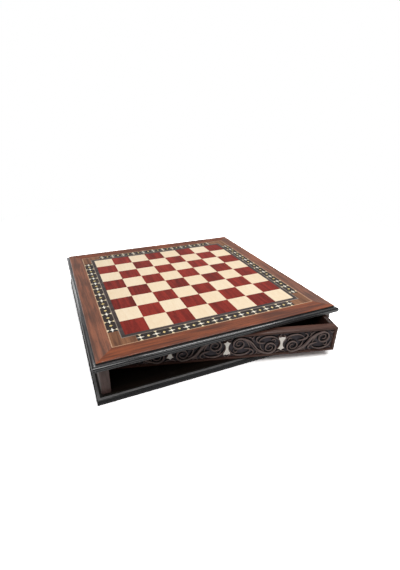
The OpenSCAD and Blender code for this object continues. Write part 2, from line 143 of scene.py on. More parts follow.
class Graph:
    """A node tree with one method that adds any node, and short ones for vectors."""

    def __init__(self, tree: bpy.types.NodeTree) -> None:
        """Keeps the tree and empties it."""
        self.tree = tree
        tree.nodes.clear()

    def add(self, kind: str, settings: dict[str, object] | None = None,
            sockets: dict[str | int, object] | None = None, out: str | int = 0) -> Wire:
        """Adds a node.

        Args:
            kind: The node's type.
            settings: Its properties, set first. "stops" fills a colour ramp.
            sockets: Values or wires for its inputs, by identifier, name or place.
            out: The output that is returned, in the same way.

        Returns:
            That output.
        """
        node = self.tree.nodes.new(kind)
        for name, value in (settings or {}).items():
            if name == "stops":
                self._fill_ramp(node.color_ramp, value)
            else:
                setattr(node, name, value)
        for key, value in (sockets or {}).items():
            target = self._socket(node.inputs, key)
            if isinstance(value, Wire):
                self.tree.links.new(value.socket, target)
            else:
                target.default_value = value
        return Wire(self, self._socket(node.outputs, out)) if len(node.outputs) else None

    def vectors(self, operation: str, *terms: Wire | Place, out: str | int = 0) -> Wire:
        """Adds one Vector Math node.

        Args:
            operation: Name of its operation.
            *terms: Its inputs, in order.
            out: The output that is returned.

        Returns:
            That output.
        """
        return self.add("ShaderNodeVectorMath", {"operation": operation}, dict(enumerate(terms)), out)

    def part(self, vector: Wire, axis: str) -> Wire:
        """The coordinate of a vector along the axis of that name."""
        return self.add("ShaderNodeSeparateXYZ", None, {"Vector": vector}, axis)

    def vector(self, x: Wire | float = 0.0, y: Wire | float = 0.0, z: Wire | float = 0.0) -> Wire:
        """A vector of three values."""
        return self.add("ShaderNodeCombineXYZ", None, {"X": x, "Y": y, "Z": z})

    @staticmethod
    def _socket(sockets: bpy.types.NodeInputs, key: str | int) -> bpy.types.NodeSocket:
        """Finds a socket.

        Args:
            sockets: The node's inputs or outputs.
            key: Identifier, name or place.

        Returns:
            The socket.
        """
        if isinstance(key, int):
            return sockets[key]
        return next((s for s in sockets if s.identifier == key), None) or sockets[key]

    @staticmethod
    def _fill_ramp(ramp: bpy.types.ColorRamp, stops: Sequence[tuple[float, Colour]]) -> None:
        """Sets a ramp's stops.

        Args:
            ramp: The ramp, new, with its two stops.
            stops: Place and colour of each stop, in order.
        """
        while len(ramp.elements) < len(stops):
            ramp.elements.new(0.5)
        for element, (place, colour) in zip(ramp.elements, stops):
            element.position = place
            element.color = (*colour, 1.0)


class Grain(Enum):
    """Which way the wood's fibres run."""

    ALONG_X = 0
    ALONG_Y = 1
    UPRIGHT = 2

    def lengths(self, along: float, across: float) -> Place:
        """Sizes of a pattern along X, Y and Z.

        Args:
            along: Size along the fibres.
            across: Size across them.

        Returns:
            The three sizes.
        """
        sizes = [across] * 3
        sizes[self.value] = along
        return tuple(sizes)


@dataclass(frozen=True)
class Flecks:
    """One kind of noise.

    Its size is the same on every axis, or along and across the fibres, or along X, Y and Z.
    """

    size: float | Point | Place
    octaves: float
    roughness: float
    twist: float = 0.0

    def lengths(self, grain: Grain) -> Place:
        """Its sizes along X, Y and Z.

        Args:
            grain: Which way the fibres run.

        Returns:
            The three sizes.
        """
        if isinstance(self.size, float):
            return (self.size,) * 3
        return grain.lengths(*self.size) if len(self.size) == 2 else self.size


@dataclass(frozen=True)
class Bearing:
    """How a piece's own axes stand in the model's frame: turned about Z, then moved."""

    turn: float = 0.0
    shift: Place = (0.0, 0.0, 0.0)

    def matrix(self) -> Matrix:
        """The move from the piece's own axes to the frame."""
        return Matrix.Translation(self.shift) @ Matrix.Rotation(self.turn, 4, "Z")


HOME = Bearing()


class Paint(Graph):
    """The node tree of one material."""

    def __init__(self, material: bpy.types.Material, bearing: Bearing) -> None:
        """Starts an empty tree.

        Args:
            material: The material to fill.
            bearing: The piece's own axes, in which the pattern lies.
        """
        material.use_nodes = True
        super().__init__(material.node_tree)
        place = self.add("ShaderNodeTexCoord", out="Object")
        if bearing != HOME:
            back = bearing.matrix().inverted()
            place = self.add("ShaderNodeMapping", {"vector_type": "POINT"},
                             {"Vector": place, "Location": back.to_translation(),
                              "Rotation": back.to_euler()})
        self.place = place

    def stretched(self, lengths: Sequence[float], shift: Wire | None = None) -> Wire:
        """The place measured in the given lengths.

        Args:
            lengths: Size of the pattern along X, Y and Z.
            shift: A vector added to it, if any.

        Returns:
            The vector.
        """
        scaled = self.vectors("DIVIDE", self.place, tuple(lengths))
        return scaled if shift is None else self.vectors("ADD", scaled, shift)

    def noise(self, flecks: Flecks, grain: Grain = Grain.ALONG_X, shift: Wire | None = None,
              vector: Wire | None = None) -> Wire:
        """Noise over the piece.

        Args:
            flecks: Its kind.
            grain: Which way the fibres run.
            shift: A vector added to the place, if any.
            vector: Where it is read, if not at the place; the size then doesn't count.

        Returns:
            The noise, about 0.5.
        """
        place = vector or self.stretched(flecks.lengths(grain), shift)
        return self.add("ShaderNodeTexNoise", None,
                        {"Vector": place, "Scale": 1.0, "Detail": flecks.octaves,
                         "Roughness": flecks.roughness, "Distortion": flecks.twist})

    def ramp(self, value: Wire, *stops: tuple[float, Colour]) -> Wire:
        """A colour ramp over a value.

        Args:
            value: Where the ramp is read.
            *stops: Place and colour of each stop.

        Returns:
            The colour.
        """
        return self.add("ShaderNodeValToRGB", {"stops": stops}, {"Fac": value})

    def blend(self, factor: Wire | float, first: Wire | Colour, second: Wire | Colour) -> Wire:
        """Mixes two colours.

        Args:
            factor: Share of the second.
            first: The first colour.
            second: The second.

        Returns:
            The colour.
        """
        pair = [c if isinstance(c, Wire) else (*c, 1.0) for c in (first, second)]
        return self.add("ShaderNodeMix", {"data_type": "RGBA"},
                        {"Factor_Float": factor, "A_Color": pair[0], "B_Color": pair[1]}, "Result_Color")

    def bump(self, height: Wire, depth: float, strength: float) -> Wire:
        """A relief for the Normal socket.

        Args:
            height: Height, from 0 to 1.
            depth: What a height of 1 stands for.
            strength: Weight.

        Returns:
            The normal.
        """
        return self.add("ShaderNodeBump", None, {"Height": height, "Distance": depth, "Strength": strength})

    def surface(self, **sockets: object) -> None:
        """Ends the tree in a Principled shader.

        Args:
            **sockets: Its inputs, with _ for each space in their names.
        """
        named = {key.replace("_", " "): value for key, value in sockets.items()}
        shader = self.add("ShaderNodeBsdfPrincipled", None, named)
        self.add("ShaderNodeOutputMaterial", None, {"Surface": shader})


class Recipe(Graph):
    """A geometry node tree with named inputs, for what repeats or follows a path."""

    def __init__(self, name: str, knobs: dict[str, str]) -> None:
        """Starts a tree.

        Args:
            name: The tree's name.
            knobs: Socket type of each named input.
        """
        super().__init__(bpy.data.node_groups.new(name, "GeometryNodeTree"))
        sides = self.tree.interface
        sides.new_socket("Geometry", in_out="INPUT", socket_type="NodeSocketGeometry")
        for knob, kind in knobs.items():
            sides.new_socket(knob, in_out="INPUT", socket_type=kind)
        sides.new_socket("Geometry", in_out="OUTPUT", socket_type="NodeSocketGeometry")
        self.entry = self.tree.nodes.new("NodeGroupInput")

    def knob(self, name: str) -> Wire:
        """The wire of a named input."""
        return Wire(self, self.entry.outputs[name])

    def finish(self, geometry: Wire) -> None:
        """Ends the tree in Realize Instances and Set Material.

        Args:
            geometry: What the tree made.
        """
        real = self.add("GeometryNodeRealizeInstances", None, {"Geometry": geometry})
        dressed = self.add("GeometryNodeSetMaterial", None,
                           {"Geometry": real, "Material": self.knob("Material")})
        self.add("NodeGroupOutput", None, {"Geometry": dressed})

    def grow(self, source: bpy.types.Mesh, name: str, **values: object) -> bpy.types.Object:
        """Runs the tree on a mesh.

        Args:
            source: The mesh that it starts from.
            name: Name of the new piece.
            **values: Values of the named inputs, with _ for each space.

        Returns:
            A piece with a plain mesh and no modifier.
        """
        carrier = new_piece(name, source)
        modifier = carrier.modifiers.new("recipe", "NODES")
        modifier.node_group = self.tree
        sockets = {s.name: s.identifier for s in self.tree.interface.items_tree if s.in_out == "INPUT"}
        for key, value in values.items():
            modifier[sockets[key.replace("_", " ")]] = value
        apply_modifiers(carrier)
        return carrier


# ---- Finishes ----


@dataclass(frozen=True)
class Finish:
    """What each finish has: its slot, which names its material, and the axes that its pattern lies in."""

    slot: str
    bearing: Bearing = field(default=HOME, kw_only=True)

    def paint(self, tree: Paint) -> None:
        """Fills a material's tree."""
        raise NotImplementedError

    def material(self) -> bpy.types.Material:
        """The finish as a material, made once."""
        if self not in MATERIALS:
            made = bpy.data.materials.new(self.slot)
            self.paint(Paint(made, self.bearing))
            MATERIALS[self] = made
        return MATERIALS[self]


MATERIALS: dict[Finish, bpy.types.Material] = {}
OWN_TONE = "own_tone"           # the attribute that holds each tile's tone


def dimmed(colour: Colour, share: float) -> Colour:
    """A colour times a share."""
    return tuple(share * c for c in colour)


@dataclass(frozen=True)
class Timber(Finish):
    """Wood with a waved figure, fine fibres and pores, under a coat of lacquer."""

    FIBRES: ClassVar[Flecks] = Flecks((30 * MM, 0.7 * MM), 3.0, 0.6)
    STREAKS: ClassVar[Flecks] = Flecks((9 * MM, 0.35 * MM), 2.0, 0.5)
    CLOUDS: ClassVar[Flecks] = Flecks(70 * MM, 2.0, 0.5)
    FIGURE_CONTRAST: ClassVar[float] = 1.9
    FIBRE_CONTRAST: ClassVar[float] = 0.55
    MIDDLE_TONE: ClassVar[float] = 0.45
    PORE_SHADE: ClassVar[float] = 0.35

    pale: Colour
    deep: Colour
    grain: Grain = Grain.ALONG_X
    figure_long: float = 160 * MM
    figure_wide: float = 11 * MM
    cloud: float = 0.5
    pores: float = 0.5
    roughness: float = 0.42
    under_gloss: float = 0.15
    coat: float = 0.6
    coat_roughness: float = 0.16

    def tone(self, tree: Paint, shift: Wire | None = None) -> tuple[Wire, Wire, Wire]:
        """The wood's pattern.

        Args:
            tree: The tree to fill.
            shift: Moves the pattern, if given.

        Returns:
            Tone from 0 to 1, fibres and pores.
        """
        waves = Flecks((self.figure_long, self.figure_wide), 4.0, 0.55, 0.9)
        figure, fibres, streaks, clouds = (tree.noise(kind, self.grain, shift) for kind in
                                           (waves, self.FIBRES, self.STREAKS, self.CLOUDS))
        tone = (0.5 + (figure - 0.5) * self.FIGURE_CONTRAST + (fibres - 0.5) * self.FIBRE_CONTRAST
                + (clouds - 0.5) * self.cloud)
        return tone.ramped(0.05, 0.95), fibres, streaks.ramped(0.60, 0.72)

    def colour(self, tree: Paint, tone: Wire, pores: Wire) -> Wire:
        """The wood's colour.

        Args:
            tree: The tree to fill.
            tone: Tone of the wood, from 0 to 1.
            pores: Mask of the dark pores.

        Returns:
            The colour.
        """
        share = self.MIDDLE_TONE
        middle = tuple(share * p + (1 - share) * d for p, d in zip(self.pale, self.deep))
        wood = tree.ramp(tone, (0.0, self.deep), (share, middle), (1.0, self.pale))
        return tree.blend(pores * self.pores, wood, dimmed(self.deep, self.PORE_SHADE))

    def lacquer(self, tree: Paint, colour: Wire, uneven: Wire, relief: Wire) -> None:
        """Ends the tree under the coat of lacquer.

        Args:
            tree: The tree to fill.
            colour: The wood's colour.
            uneven: What is added to its roughness.
            relief: Its normal.
        """
        tree.surface(Base_Color=colour, Roughness=self.roughness + uneven, Normal=relief,
                     Specular_IOR_Level=self.under_gloss, Coat_Weight=self.coat,
                     Coat_Roughness=self.coat_roughness)

    def paint(self, tree: Paint) -> None:
        """Fills a material's tree."""
        tone, fibres, pores = self.tone(tree)
        self.lacquer(tree, self.colour(tree, tone, pores), (0.5 - fibres) * 0.12,
                     tree.bump(fibres * 0.4 - pores * 0.6, depth=0.12 * MM, strength=0.35))


@dataclass(frozen=True)
class DarkBelow(Timber):
    """Wood that is darker under a given height than on its top: on a drawer's front board this is painted
    shade on its upright faces, on the border it turns the upright edge near black.
    """

    EDGE: ClassVar[float] = 0.2 * MM

    dark_below: float = 77.3 * MM
    stain: Colour = (0.006, 0.005, 0.005)
    strength: float = 1.0

    def colour(self, tree: Paint, tone: Wire, pores: Wire) -> Wire:
        """The wood's colour, with the dark tint under its height."""
        line = self.dark_below
        under = 1.0 - tree.part(tree.place, "Z").ramped(line - self.EDGE, line + self.EDGE)
        return tree.blend(under * self.strength, super().colour(tree, tone, pores), self.stain)


@dataclass(frozen=True)
class Squares(Timber):
    """The veneer of the board's squares, each cut from its own place."""

    SCATTER: ClassVar[Place] = (37.0, 53.0, 29.0)
    MOTTLES: ClassVar[Flecks] = Flecks((6 * MM, 9 * MM, 10 * MM), 4.0, 0.65, 1.2)
    CURLS: ClassVar[Flecks] = Flecks((3.5 * MM, 16 * MM, 10 * MM), 2.0, 0.5, 0.8)

    side: float = 44 * MM
    mottle: float = 0.0
    drift: float = 0.35

    def paint(self, tree: Paint) -> None:
        """Fills a material's tree."""
        cell = tree.vectors("FLOOR", tree.stretched((self.side, self.side, 1.0)))
        chance, own = (tree.add("ShaderNodeTexWhiteNoise", {"noise_dimensions": "3D"}, {"Vector": cell}, out)
                       for out in ("Color", "Value"))
        shift = tree.vectors("MULTIPLY", chance, self.SCATTER)
        tone, fibres, pores = self.tone(tree, shift)
        mottle, curl = (tree.noise(kind, shift=shift) for kind in (self.MOTTLES, self.CURLS))
        tone = tone * (1.0 - self.mottle) + (mottle * 0.6 + curl * 0.4).ramped(0.3, 0.7) * self.mottle
        tone = (tone + (own - 0.5) * self.drift).at_least(0.0).at_most(1.0)
        self.lacquer(tree, self.colour(tree, tone, pores), (0.5 - fibres) * 0.1,
                     tree.bump(fibres, depth=0.05 * MM, strength=0.2))


@dataclass(frozen=True)
class Lacquer(Finish):
    """Black satin lacquer with brush marks, a few dull spots and crests painted lighter: partly where hands
    have rubbed them, partly a painted highlight.
    """

    MARKS: ClassVar[Flecks] = Flecks((60 * MM, 0.9 * MM), 3.0, 0.6)
    DULL_SPOTS: ClassVar[Flecks] = Flecks(20 * MM, 4.0, 0.6)
    WORN_SPOTS: ClassVar[Flecks] = Flecks(3 * MM, 2.0, 0.5)

    tint: Colour = (0.0065, 0.0065, 0.0075)
    grain: Grain = Grain.ALONG_X
    roughness: float = 0.20
    under_gloss: float = 0.25
    coat: float = 0.2
    crest_z: float = 78 * MM
    crest_height: float = 0.5 * MM
    wear_and_painted_light: Colour = (0.085, 0.083, 0.085)

    def paint(self, tree: Paint) -> None:
        """Fills a material's tree."""
        marks, dull = tree.noise(self.MARKS, self.grain), tree.noise(self.DULL_SPOTS)
        worn = tree.noise(self.WORN_SPOTS).ramped(0.62, 0.74)
        grey = tuple(0.012 + 2.2 * c for c in self.tint)
        black = tree.blend(worn * 0.3 + (marks - 0.4).at_least(0.0) * 0.8, self.tint, grey)
        height = tree.part(tree.place, "Z")
        # The crest band is painted light grey: rubbed wear and a painted highlight along the arris.
        crest = height.ramped(self.crest_z - self.crest_height, self.crest_z) * (0.45 + dull)
        tree.surface(Base_Color=tree.blend(crest.at_most(1.0), black, self.wear_and_painted_light),
                     Specular_IOR_Level=self.under_gloss,
                     Roughness=self.roughness + (dull - 0.5) * 0.22 + worn * 0.1,
                     Normal=tree.bump(marks, depth=0.08 * MM, strength=0.35),
                     Coat_Weight=self.coat, Coat_Roughness=0.1)


@dataclass(frozen=True)
class Relief(Finish):
    """Carved wood, painted near black low on its ridges as the shade at their feet, and rubbed brown on its
    crowns.
    """

    FIBRES: ClassVar[Flecks] = Flecks((12 * MM, 1.1 * MM), 4.0, 0.6)
    RUBBED_SPOTS: ClassVar[Flecks] = Flecks(4 * MM, 3.0, 0.55)

    hollow: Colour
    crown: Colour
    ground_y: float
    crown_y: float

    def paint(self, tree: Paint) -> None:
        """Fills a material's tree."""
        depth = tree.part(tree.place, "Y")
        fibres, wear_and_painted_light = tree.noise(self.FIBRES), tree.noise(self.RUBBED_SPOTS)
        share = (self.ground_y - depth) / (self.ground_y - self.crown_y)
        # Below the crown each ridge is painted near black as shade at its foot; rubbed spots move that line.
        high = (share + (wear_and_painted_light - 0.5) * 0.3).ramped(0.55, 0.95)
        wood = tree.blend(fibres.ramped(0.3, 0.75), self.crown, dimmed(self.crown, 0.55))
        tree.surface(Base_Color=tree.blend(high, self.hollow, wood),
                     Roughness=0.62 - high * 0.2 + (fibres - 0.5) * 0.2, Specular_IOR_Level=0.2,
                     Normal=tree.bump(fibres * 0.6 + wear_and_painted_light * 0.4, depth=0.3 * MM, strength=0.5),
                     Coat_Weight=high * 0.35, Coat_Roughness=0.25)


@dataclass(frozen=True)
class Bone(Finish):
    """Polished bone colour with faint veins."""

    VEINS: ClassVar[Flecks] = Flecks((0.9 * MM, 4 * MM, 11 * MM), 4.0, 0.6, 0.4)
    STAINS: ClassVar[Flecks] = Flecks(6 * MM, 3.0, 0.6)

    pale: Colour = (0.93, 0.88, 0.82)
    yellowing: Colour = (0.84, 0.78, 0.68)

    def paint(self, tree: Paint) -> None:
        """Fills a material's tree."""
        veins, stain = tree.noise(self.VEINS), tree.noise(self.STAINS)
        dull = tuple(c * k for c, k in zip(self.pale, self.yellowing))
        tree.surface(Base_Color=tree.blend((veins * 0.6 + stain * 0.4).ramped(0.42, 0.78), self.pale, dull),
                     Roughness=0.32 + veins * 0.15, Normal=tree.bump(veins, depth=0.06 * MM, strength=0.4),
                     Coat_Weight=0.2, Coat_Roughness=0.2)


@dataclass(frozen=True)
class Tile(Finish):
    """A small inlaid tile under lacquer, each of its own tone."""

    CLOUDS: ClassVar[Flecks] = Flecks(2.2 * MM, 3.0, 0.6, 0.5)

    pale: Colour
    deep: Colour

    def paint(self, tree: Paint) -> None:
        """Fills a material's tree."""
        own = tree.add("ShaderNodeAttribute", {"attribute_name": OWN_TONE}, None, "Fac")
        cloud = tree.noise(self.CLOUDS)
        tone = (own * 0.75 + (cloud - 0.5) * 0.9 + 0.15).at_least(0.0).at_most(1.0)
        tree.surface(Base_Color=tree.blend(tone, self.deep, self.pale),
                     Roughness=0.3 + cloud * 0.15, Normal=tree.bump(cloud, depth=0.05 * MM, strength=0.3),
                     Coat_Weight=0.7, Coat_Roughness=0.12)


@dataclass(frozen=True)
class Felt(Finish):
    """Pressed wool with short loose hair."""

    HAIR: ClassVar[Flecks] = Flecks(0.7 * MM, 4.0, 0.75, 1.5)
    CLUMPS: ClassVar[Flecks] = Flecks(6 * MM, 3.0, 0.6)
    LIFT: ClassVar[float] = 0.25 * MM

    tint: Colour

    def paint(self, tree: Paint) -> None:
        """Fills a material's tree."""
        hair, clumps = tree.noise(self.HAIR), tree.noise(self.CLUMPS)
        light = tuple(min(1.0, 2.4 * c + 0.01) for c in self.tint)
        tree.surface(Base_Color=tree.blend(hair.ramped(0.35, 0.75) * 0.6 + clumps * 0.3, self.tint, light),
                     Roughness=0.93, Normal=tree.bump(hair * 0.7 + clumps * 0.3, self.LIFT, strength=0.8),
                     Sheen_Weight=0.35, Sheen_Roughness=0.5, Specular_IOR_Level=0.2)


@dataclass(frozen=True)
class Turned(Finish):
    """Metal turned on a lathe, with rings about an upright axis."""

    RINGS: ClassVar[Flecks] = Flecks(0.25 * MM, 2.0, 0.5)
    TARNISH: ClassVar[Flecks] = Flecks(3 * MM, 3.0, 0.6)

    tint: Colour
    roughness: float = 0.28
    axis: Point = (0.0, 0.0)

    def paint(self, tree: Paint) -> None:
        """Fills a material's tree."""
        from_axis = tree.vectors("SUBTRACT", tree.place, (*self.axis, 0.0))
        radius = tree.vectors("LENGTH", tree.vectors("MULTIPLY", from_axis, (1.0, 1.0, 0.0)), out="Value")
        rings = tree.noise(self.RINGS, vector=tree.vector(radius / self.RINGS.size))
        tarnish = tree.noise(self.TARNISH).ramped(0.4, 0.8) * 0.6
        tree.surface(Base_Color=tree.blend(tarnish, self.tint, dimmed(self.tint, 0.6)), Metallic=1.0,
                     Roughness=self.roughness + (rings - 0.5) * 0.2,
                     Normal=tree.bump(rings, depth=0.02 * MM, strength=0.4))


# ---- Making pieces ----


def new_piece(name: str, data: bpy.types.ID) -> bpy.types.Object:
    """Puts a mesh, a lamp or a camera in the scene as an object at the origin.

    Args:
        name: Its name.
        data: The mesh, lamp or camera.

    Returns:
        The object.
    """
    piece = bpy.data.objects.new(name, data)
    bpy.context.scene.collection.objects.link(piece)
    return piece


def apply_modifiers(piece: bpy.types.Object) -> None:
    """Turns a piece's modifiers into its plain mesh and removes them."""
    bpy.context.view_layer.update()
    graph = bpy.context.evaluated_depsgraph_get()
    mesh = bpy.data.meshes.new_from_object(piece.evaluated_get(graph), preserve_all_data_layers=True,
                                           depsgraph=graph)
    piece.modifiers.clear()
    piece.data = mesh


def ease_edges(piece: bpy.types.Object, width: float, smooth_under: float = 35.0) -> None:
    """Rounds a piece's sharp edges a little.

    Args:
        piece: The piece, with a closed mesh.
        width: Width of the rounding.
        smooth_under: Edges that bend less than this many degrees stay as they are and are shaded smooth.
    """
    bevel = piece.modifiers.new("ease", "BEVEL")
    bevel.width = width
    bevel.segments = 2
    bevel.limit_method = "ANGLE"
    bevel.angle_limit = math.radians(smooth_under)
    apply_modifiers(piece)
    piece.data.shade_smooth()
    piece.data.set_sharp_from_angle(angle=math.radians(smooth_under))


def shape(name: str, fill: Callable[[bmesh.types.BMesh], None]) -> bpy.types.Mesh:
    """Makes a mesh.

    Args:
        name: Its name.
        fill: Adds the faces.

    Returns:
        The mesh, with its doubles merged and its faces outward.
    """
    draft = bmesh.new()
    fill(draft)
    bmesh.ops.remove_doubles(draft, verts=draft.verts, dist=WELD)
    bmesh.ops.recalc_face_normals(draft, faces=draft.faces)
    mesh = bpy.data.meshes.new(name)
    draft.to_mesh(mesh)
    draft.free()
    return mesh


def merged_copy(node: str, name: str) -> bpy.types.Object:
    """Copies a node of the model, with its loose triangles merged into flat faces.

    Args:
        node: The node.
        name: Name of the copy.

    Returns:
        The copy.
    """
    draft = bmesh.new()
    draft.from_mesh(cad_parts[node].data)
    bmesh.ops.remove_doubles(draft, verts=draft.verts, dist=WELD)
    bmesh.ops.dissolve_limit(draft, angle_limit=FLAT, verts=draft.verts, edges=draft.edges)
    mesh = bpy.data.meshes.new(name)
    draft.to_mesh(mesh)
    draft.free()
    return new_piece(name, mesh)


def add_prism(draft: bmesh.types.BMesh, outline: Sequence[Point], low: float, high: float) -> None:
    """Adds a closed prism.

    Args:
        draft: The mesh that gets it.
        outline: Its outline in X and Y.
        low: Height of its lower end.
        high: Height of its upper end.
    """
    stack_rings(draft, [[draft.verts.new((x, y, z)) for x, y in outline] for z in (low, high)])


def outline_mesh(name: str, corners: Sequence[Point]) -> bpy.types.Mesh:
    """Makes a closed ring of edges.

    Args:
        name: Its name.
        corners: Its corners in X and Y.

    Returns:
        The mesh.
    """
    mesh = bpy.data.meshes.new(name)
    count = len(corners)
    mesh.from_pydata([(*c, 0.0) for c in corners], [(i, (i + 1) % count) for i in range(count)], [])
    return mesh


def stack_rings(draft: bmesh.types.BMesh, rings: Sequence[Sequence[bmesh.types.BMVert]]) -> None:
    """Closes a stack of rings of corners into a solid.

    Args:
        draft: The mesh that gets the faces.
        rings: The rings, from one end to the other, each with as many corners.
    """
    count = len(rings[0])
    draft.faces.new(list(reversed(rings[0])))
    draft.faces.new(rings[-1])
    for low, high in zip(rings, rings[1:]):
        for i in range(count):
            j = (i + 1) % count
            draft.faces.new((low[i], low[j], high[j], high[i]))


def add_block(draft: bmesh.types.BMesh, low: Sequence[float], high: Sequence[float]) -> None:
    """Adds a closed block between two corners.

    Args:
        draft: The mesh that gets it.
        low: Its lowest corner.
        high: Its highest corner.
    """
    add_prism(draft, [(low[0], low[1]), (high[0], low[1]), (high[0], high[1]), (low[0], high[1])],
              low[2], high[2])


@dataclass
class Assembly:
    """What every sub-assembly can do: dress nodes of the model and seat new pieces on a body."""

    body: str
    bearing: Bearing = HOME

    def material(self, finish: Finish) -> bpy.types.Material:
        """A finish's material, with its pattern in the sub-assembly's own axes."""
        return replace(finish, bearing=self.bearing).material()

    def dress(self, finish: Finish, *nodes: str) -> None:
        """Gives nodes of the model their finish.

        Args:
            finish: The finish.
            *nodes: The nodes.
        """
        for node in nodes:
            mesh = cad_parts[node].data
            mesh.materials.clear()
            mesh.materials.append(self.material(finish))
            log.info("%s dressed in %s", node, finish.slot)

    def seat(self, piece: bpy.types.Object, finish: Finish, *nodes: str) -> None:
        """Gives a new piece its finish, body and slot.

        Args:
            piece: The piece, finished and in place.
            finish: Its finish.
            *nodes: The nodes that it stands for.
        """
        if not piece.data.materials:
            piece.data.materials.append(self.material(finish))
        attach(piece, self.body)
        if nodes:
            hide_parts(*nodes)
        log.info("%s seated on %s, %d faces", piece.name, self.body, len(piece.data.polygons))

    def eased(self, node: str, finish: Finish, width: float = 0.5 * MM) -> None:
        """Puts a copy with eased edges in a node's place.

        Args:
            node: The node.
            finish: The copy's finish.
            width: Width of the eased edges.
        """
        piece = merged_copy(node, node + "_eased")
        ease_edges(piece, width)
        self.seat(piece, finish, node)


class Side(Enum):
    """A side of the case, as it ends the names of the nodes there."""

    FRONT = "front"
    RIGHT = "right"
    BACK = "back"
    LEFT = "left"

    @property
    def grain(self) -> Grain:
        """The way along the side."""
        return Grain.ALONG_X if self in (Side.FRONT, Side.BACK) else Grain.ALONG_Y


GROUND = Timber("mosaic_ground", (0.050, 0.036, 0.032), (0.018, 0.013, 0.012), coat=0.5)
BRASS = (0.72, 0.50, 0.22)
STEEL = (0.56, 0.57, 0.58)


# ---- The playing board ----


@dataclass
class BoardTop(Assembly):
    """The squares, the strips and bands round them, and the border."""

    body: str = "case"
    square: float = 44 * MM
    border_gloss: float = 0.2
    # The boards along Y get a paler, greyer walnut than those along X: partly the wood's tone, partly painted
    # sheen.
    border_tones_and_sheen: dict[Grain, tuple[Colour, Colour, float]] = field(default_factory=lambda: {
        Grain.ALONG_X: ((0.30, 0.072, 0.021), (0.091, 0.021, 0.0075), 0.15),
        Grain.ALONG_Y: ((0.32, 0.106, 0.050), (0.10, 0.035, 0.018), 0.38)})

    def build(self) -> None:
        """Dresses the board."""
        self.dress(Squares("maple", (0.97, 0.82, 0.61), (0.89, 0.70, 0.47), Grain.ALONG_Y,
                           side=self.square, mottle=0.6, pores=0.12, cloud=0.3, coat=0.8,
                           coat_roughness=0.1), "light_squares")
        self.dress(Squares("padauk", (0.365, 0.031, 0.018), (0.129, 0.0085, 0.0055), Grain.ALONG_Y,
                           side=self.square, mottle=0.35, pores=0.6, under_gloss=0.05, coat=0.75,
                           coat_roughness=0.08), "dark_squares")
        self.dress(Timber("ebony", (0.075, 0.052, 0.050), (0.028, 0.020, 0.019), coat=0.8), "ebony_strips")
        for node, pale, deep in (("outer_stringing", (0.66, 0.42, 0.26), (0.48, 0.28, 0.16)),
                                 ("inner_stringing", (0.36, 0.30, 0.25), (0.22, 0.18, 0.14))):
            self.dress(Timber("stringing", pale, deep, pores=0.1, coat=0.7), node)
        self.dress(Timber("walnut", (0.33, 0.145, 0.065), (0.12, 0.045, 0.020), Grain.ALONG_Y, pores=0.7,
                          coat=0.8), "corner_blocks")
        for side in Side:
            pale, deep, gloss = self.border_tones_and_sheen[side.grain]
            self.dress(DarkBelow("walnut", pale, deep, side.grain, figure_long=100 * MM,
                                    figure_wide=6 * MM, cloud=0.9, pores=0.85, under_gloss=gloss,
                                    coat=0.8, coat_roughness=self.border_gloss), "border_" + side.value)
            self.dress(replace(GROUND, grain=side.grain), "mosaic_" + side.value)


@dataclass(frozen=True)
class TileCut:
    """The outlines of the tiles, with X along the band and Y across it."""

    star_reach: Point
    star_waist: float
    diamond_reach: Point
    wedge_size: Point

    def star(self) -> list[Point]:
        """A star with four points."""
        long, short = self.star_reach
        reach = (long, self.star_waist, short, self.star_waist)
        turns = [math.radians(45 * k) for k in range(8)]
        return [(reach[k % 4] * math.cos(turn), reach[k % 4] * math.sin(turn))
                for k, turn in enumerate(turns)]

    def diamond(self) -> list[Point]:
        """A diamond."""
        x, y = self.diamond_reach
        return [(x, 0.0), (0.0, y), (-x, 0.0), (0.0, -y)]

    def wedges(self, edge: float) -> list[list[Point]]:
        """The two triangles at the edges of the band.

        Args:
            edge: Half the band's width.

        Returns:
            Their outlines.
        """
        wide, high = self.wedge_size
        wedge = [(-wide / 2, -edge), (wide / 2, -edge), (0.0, high - edge)]
        return [wedge, [(-x, -y) for x, y in wedge]]


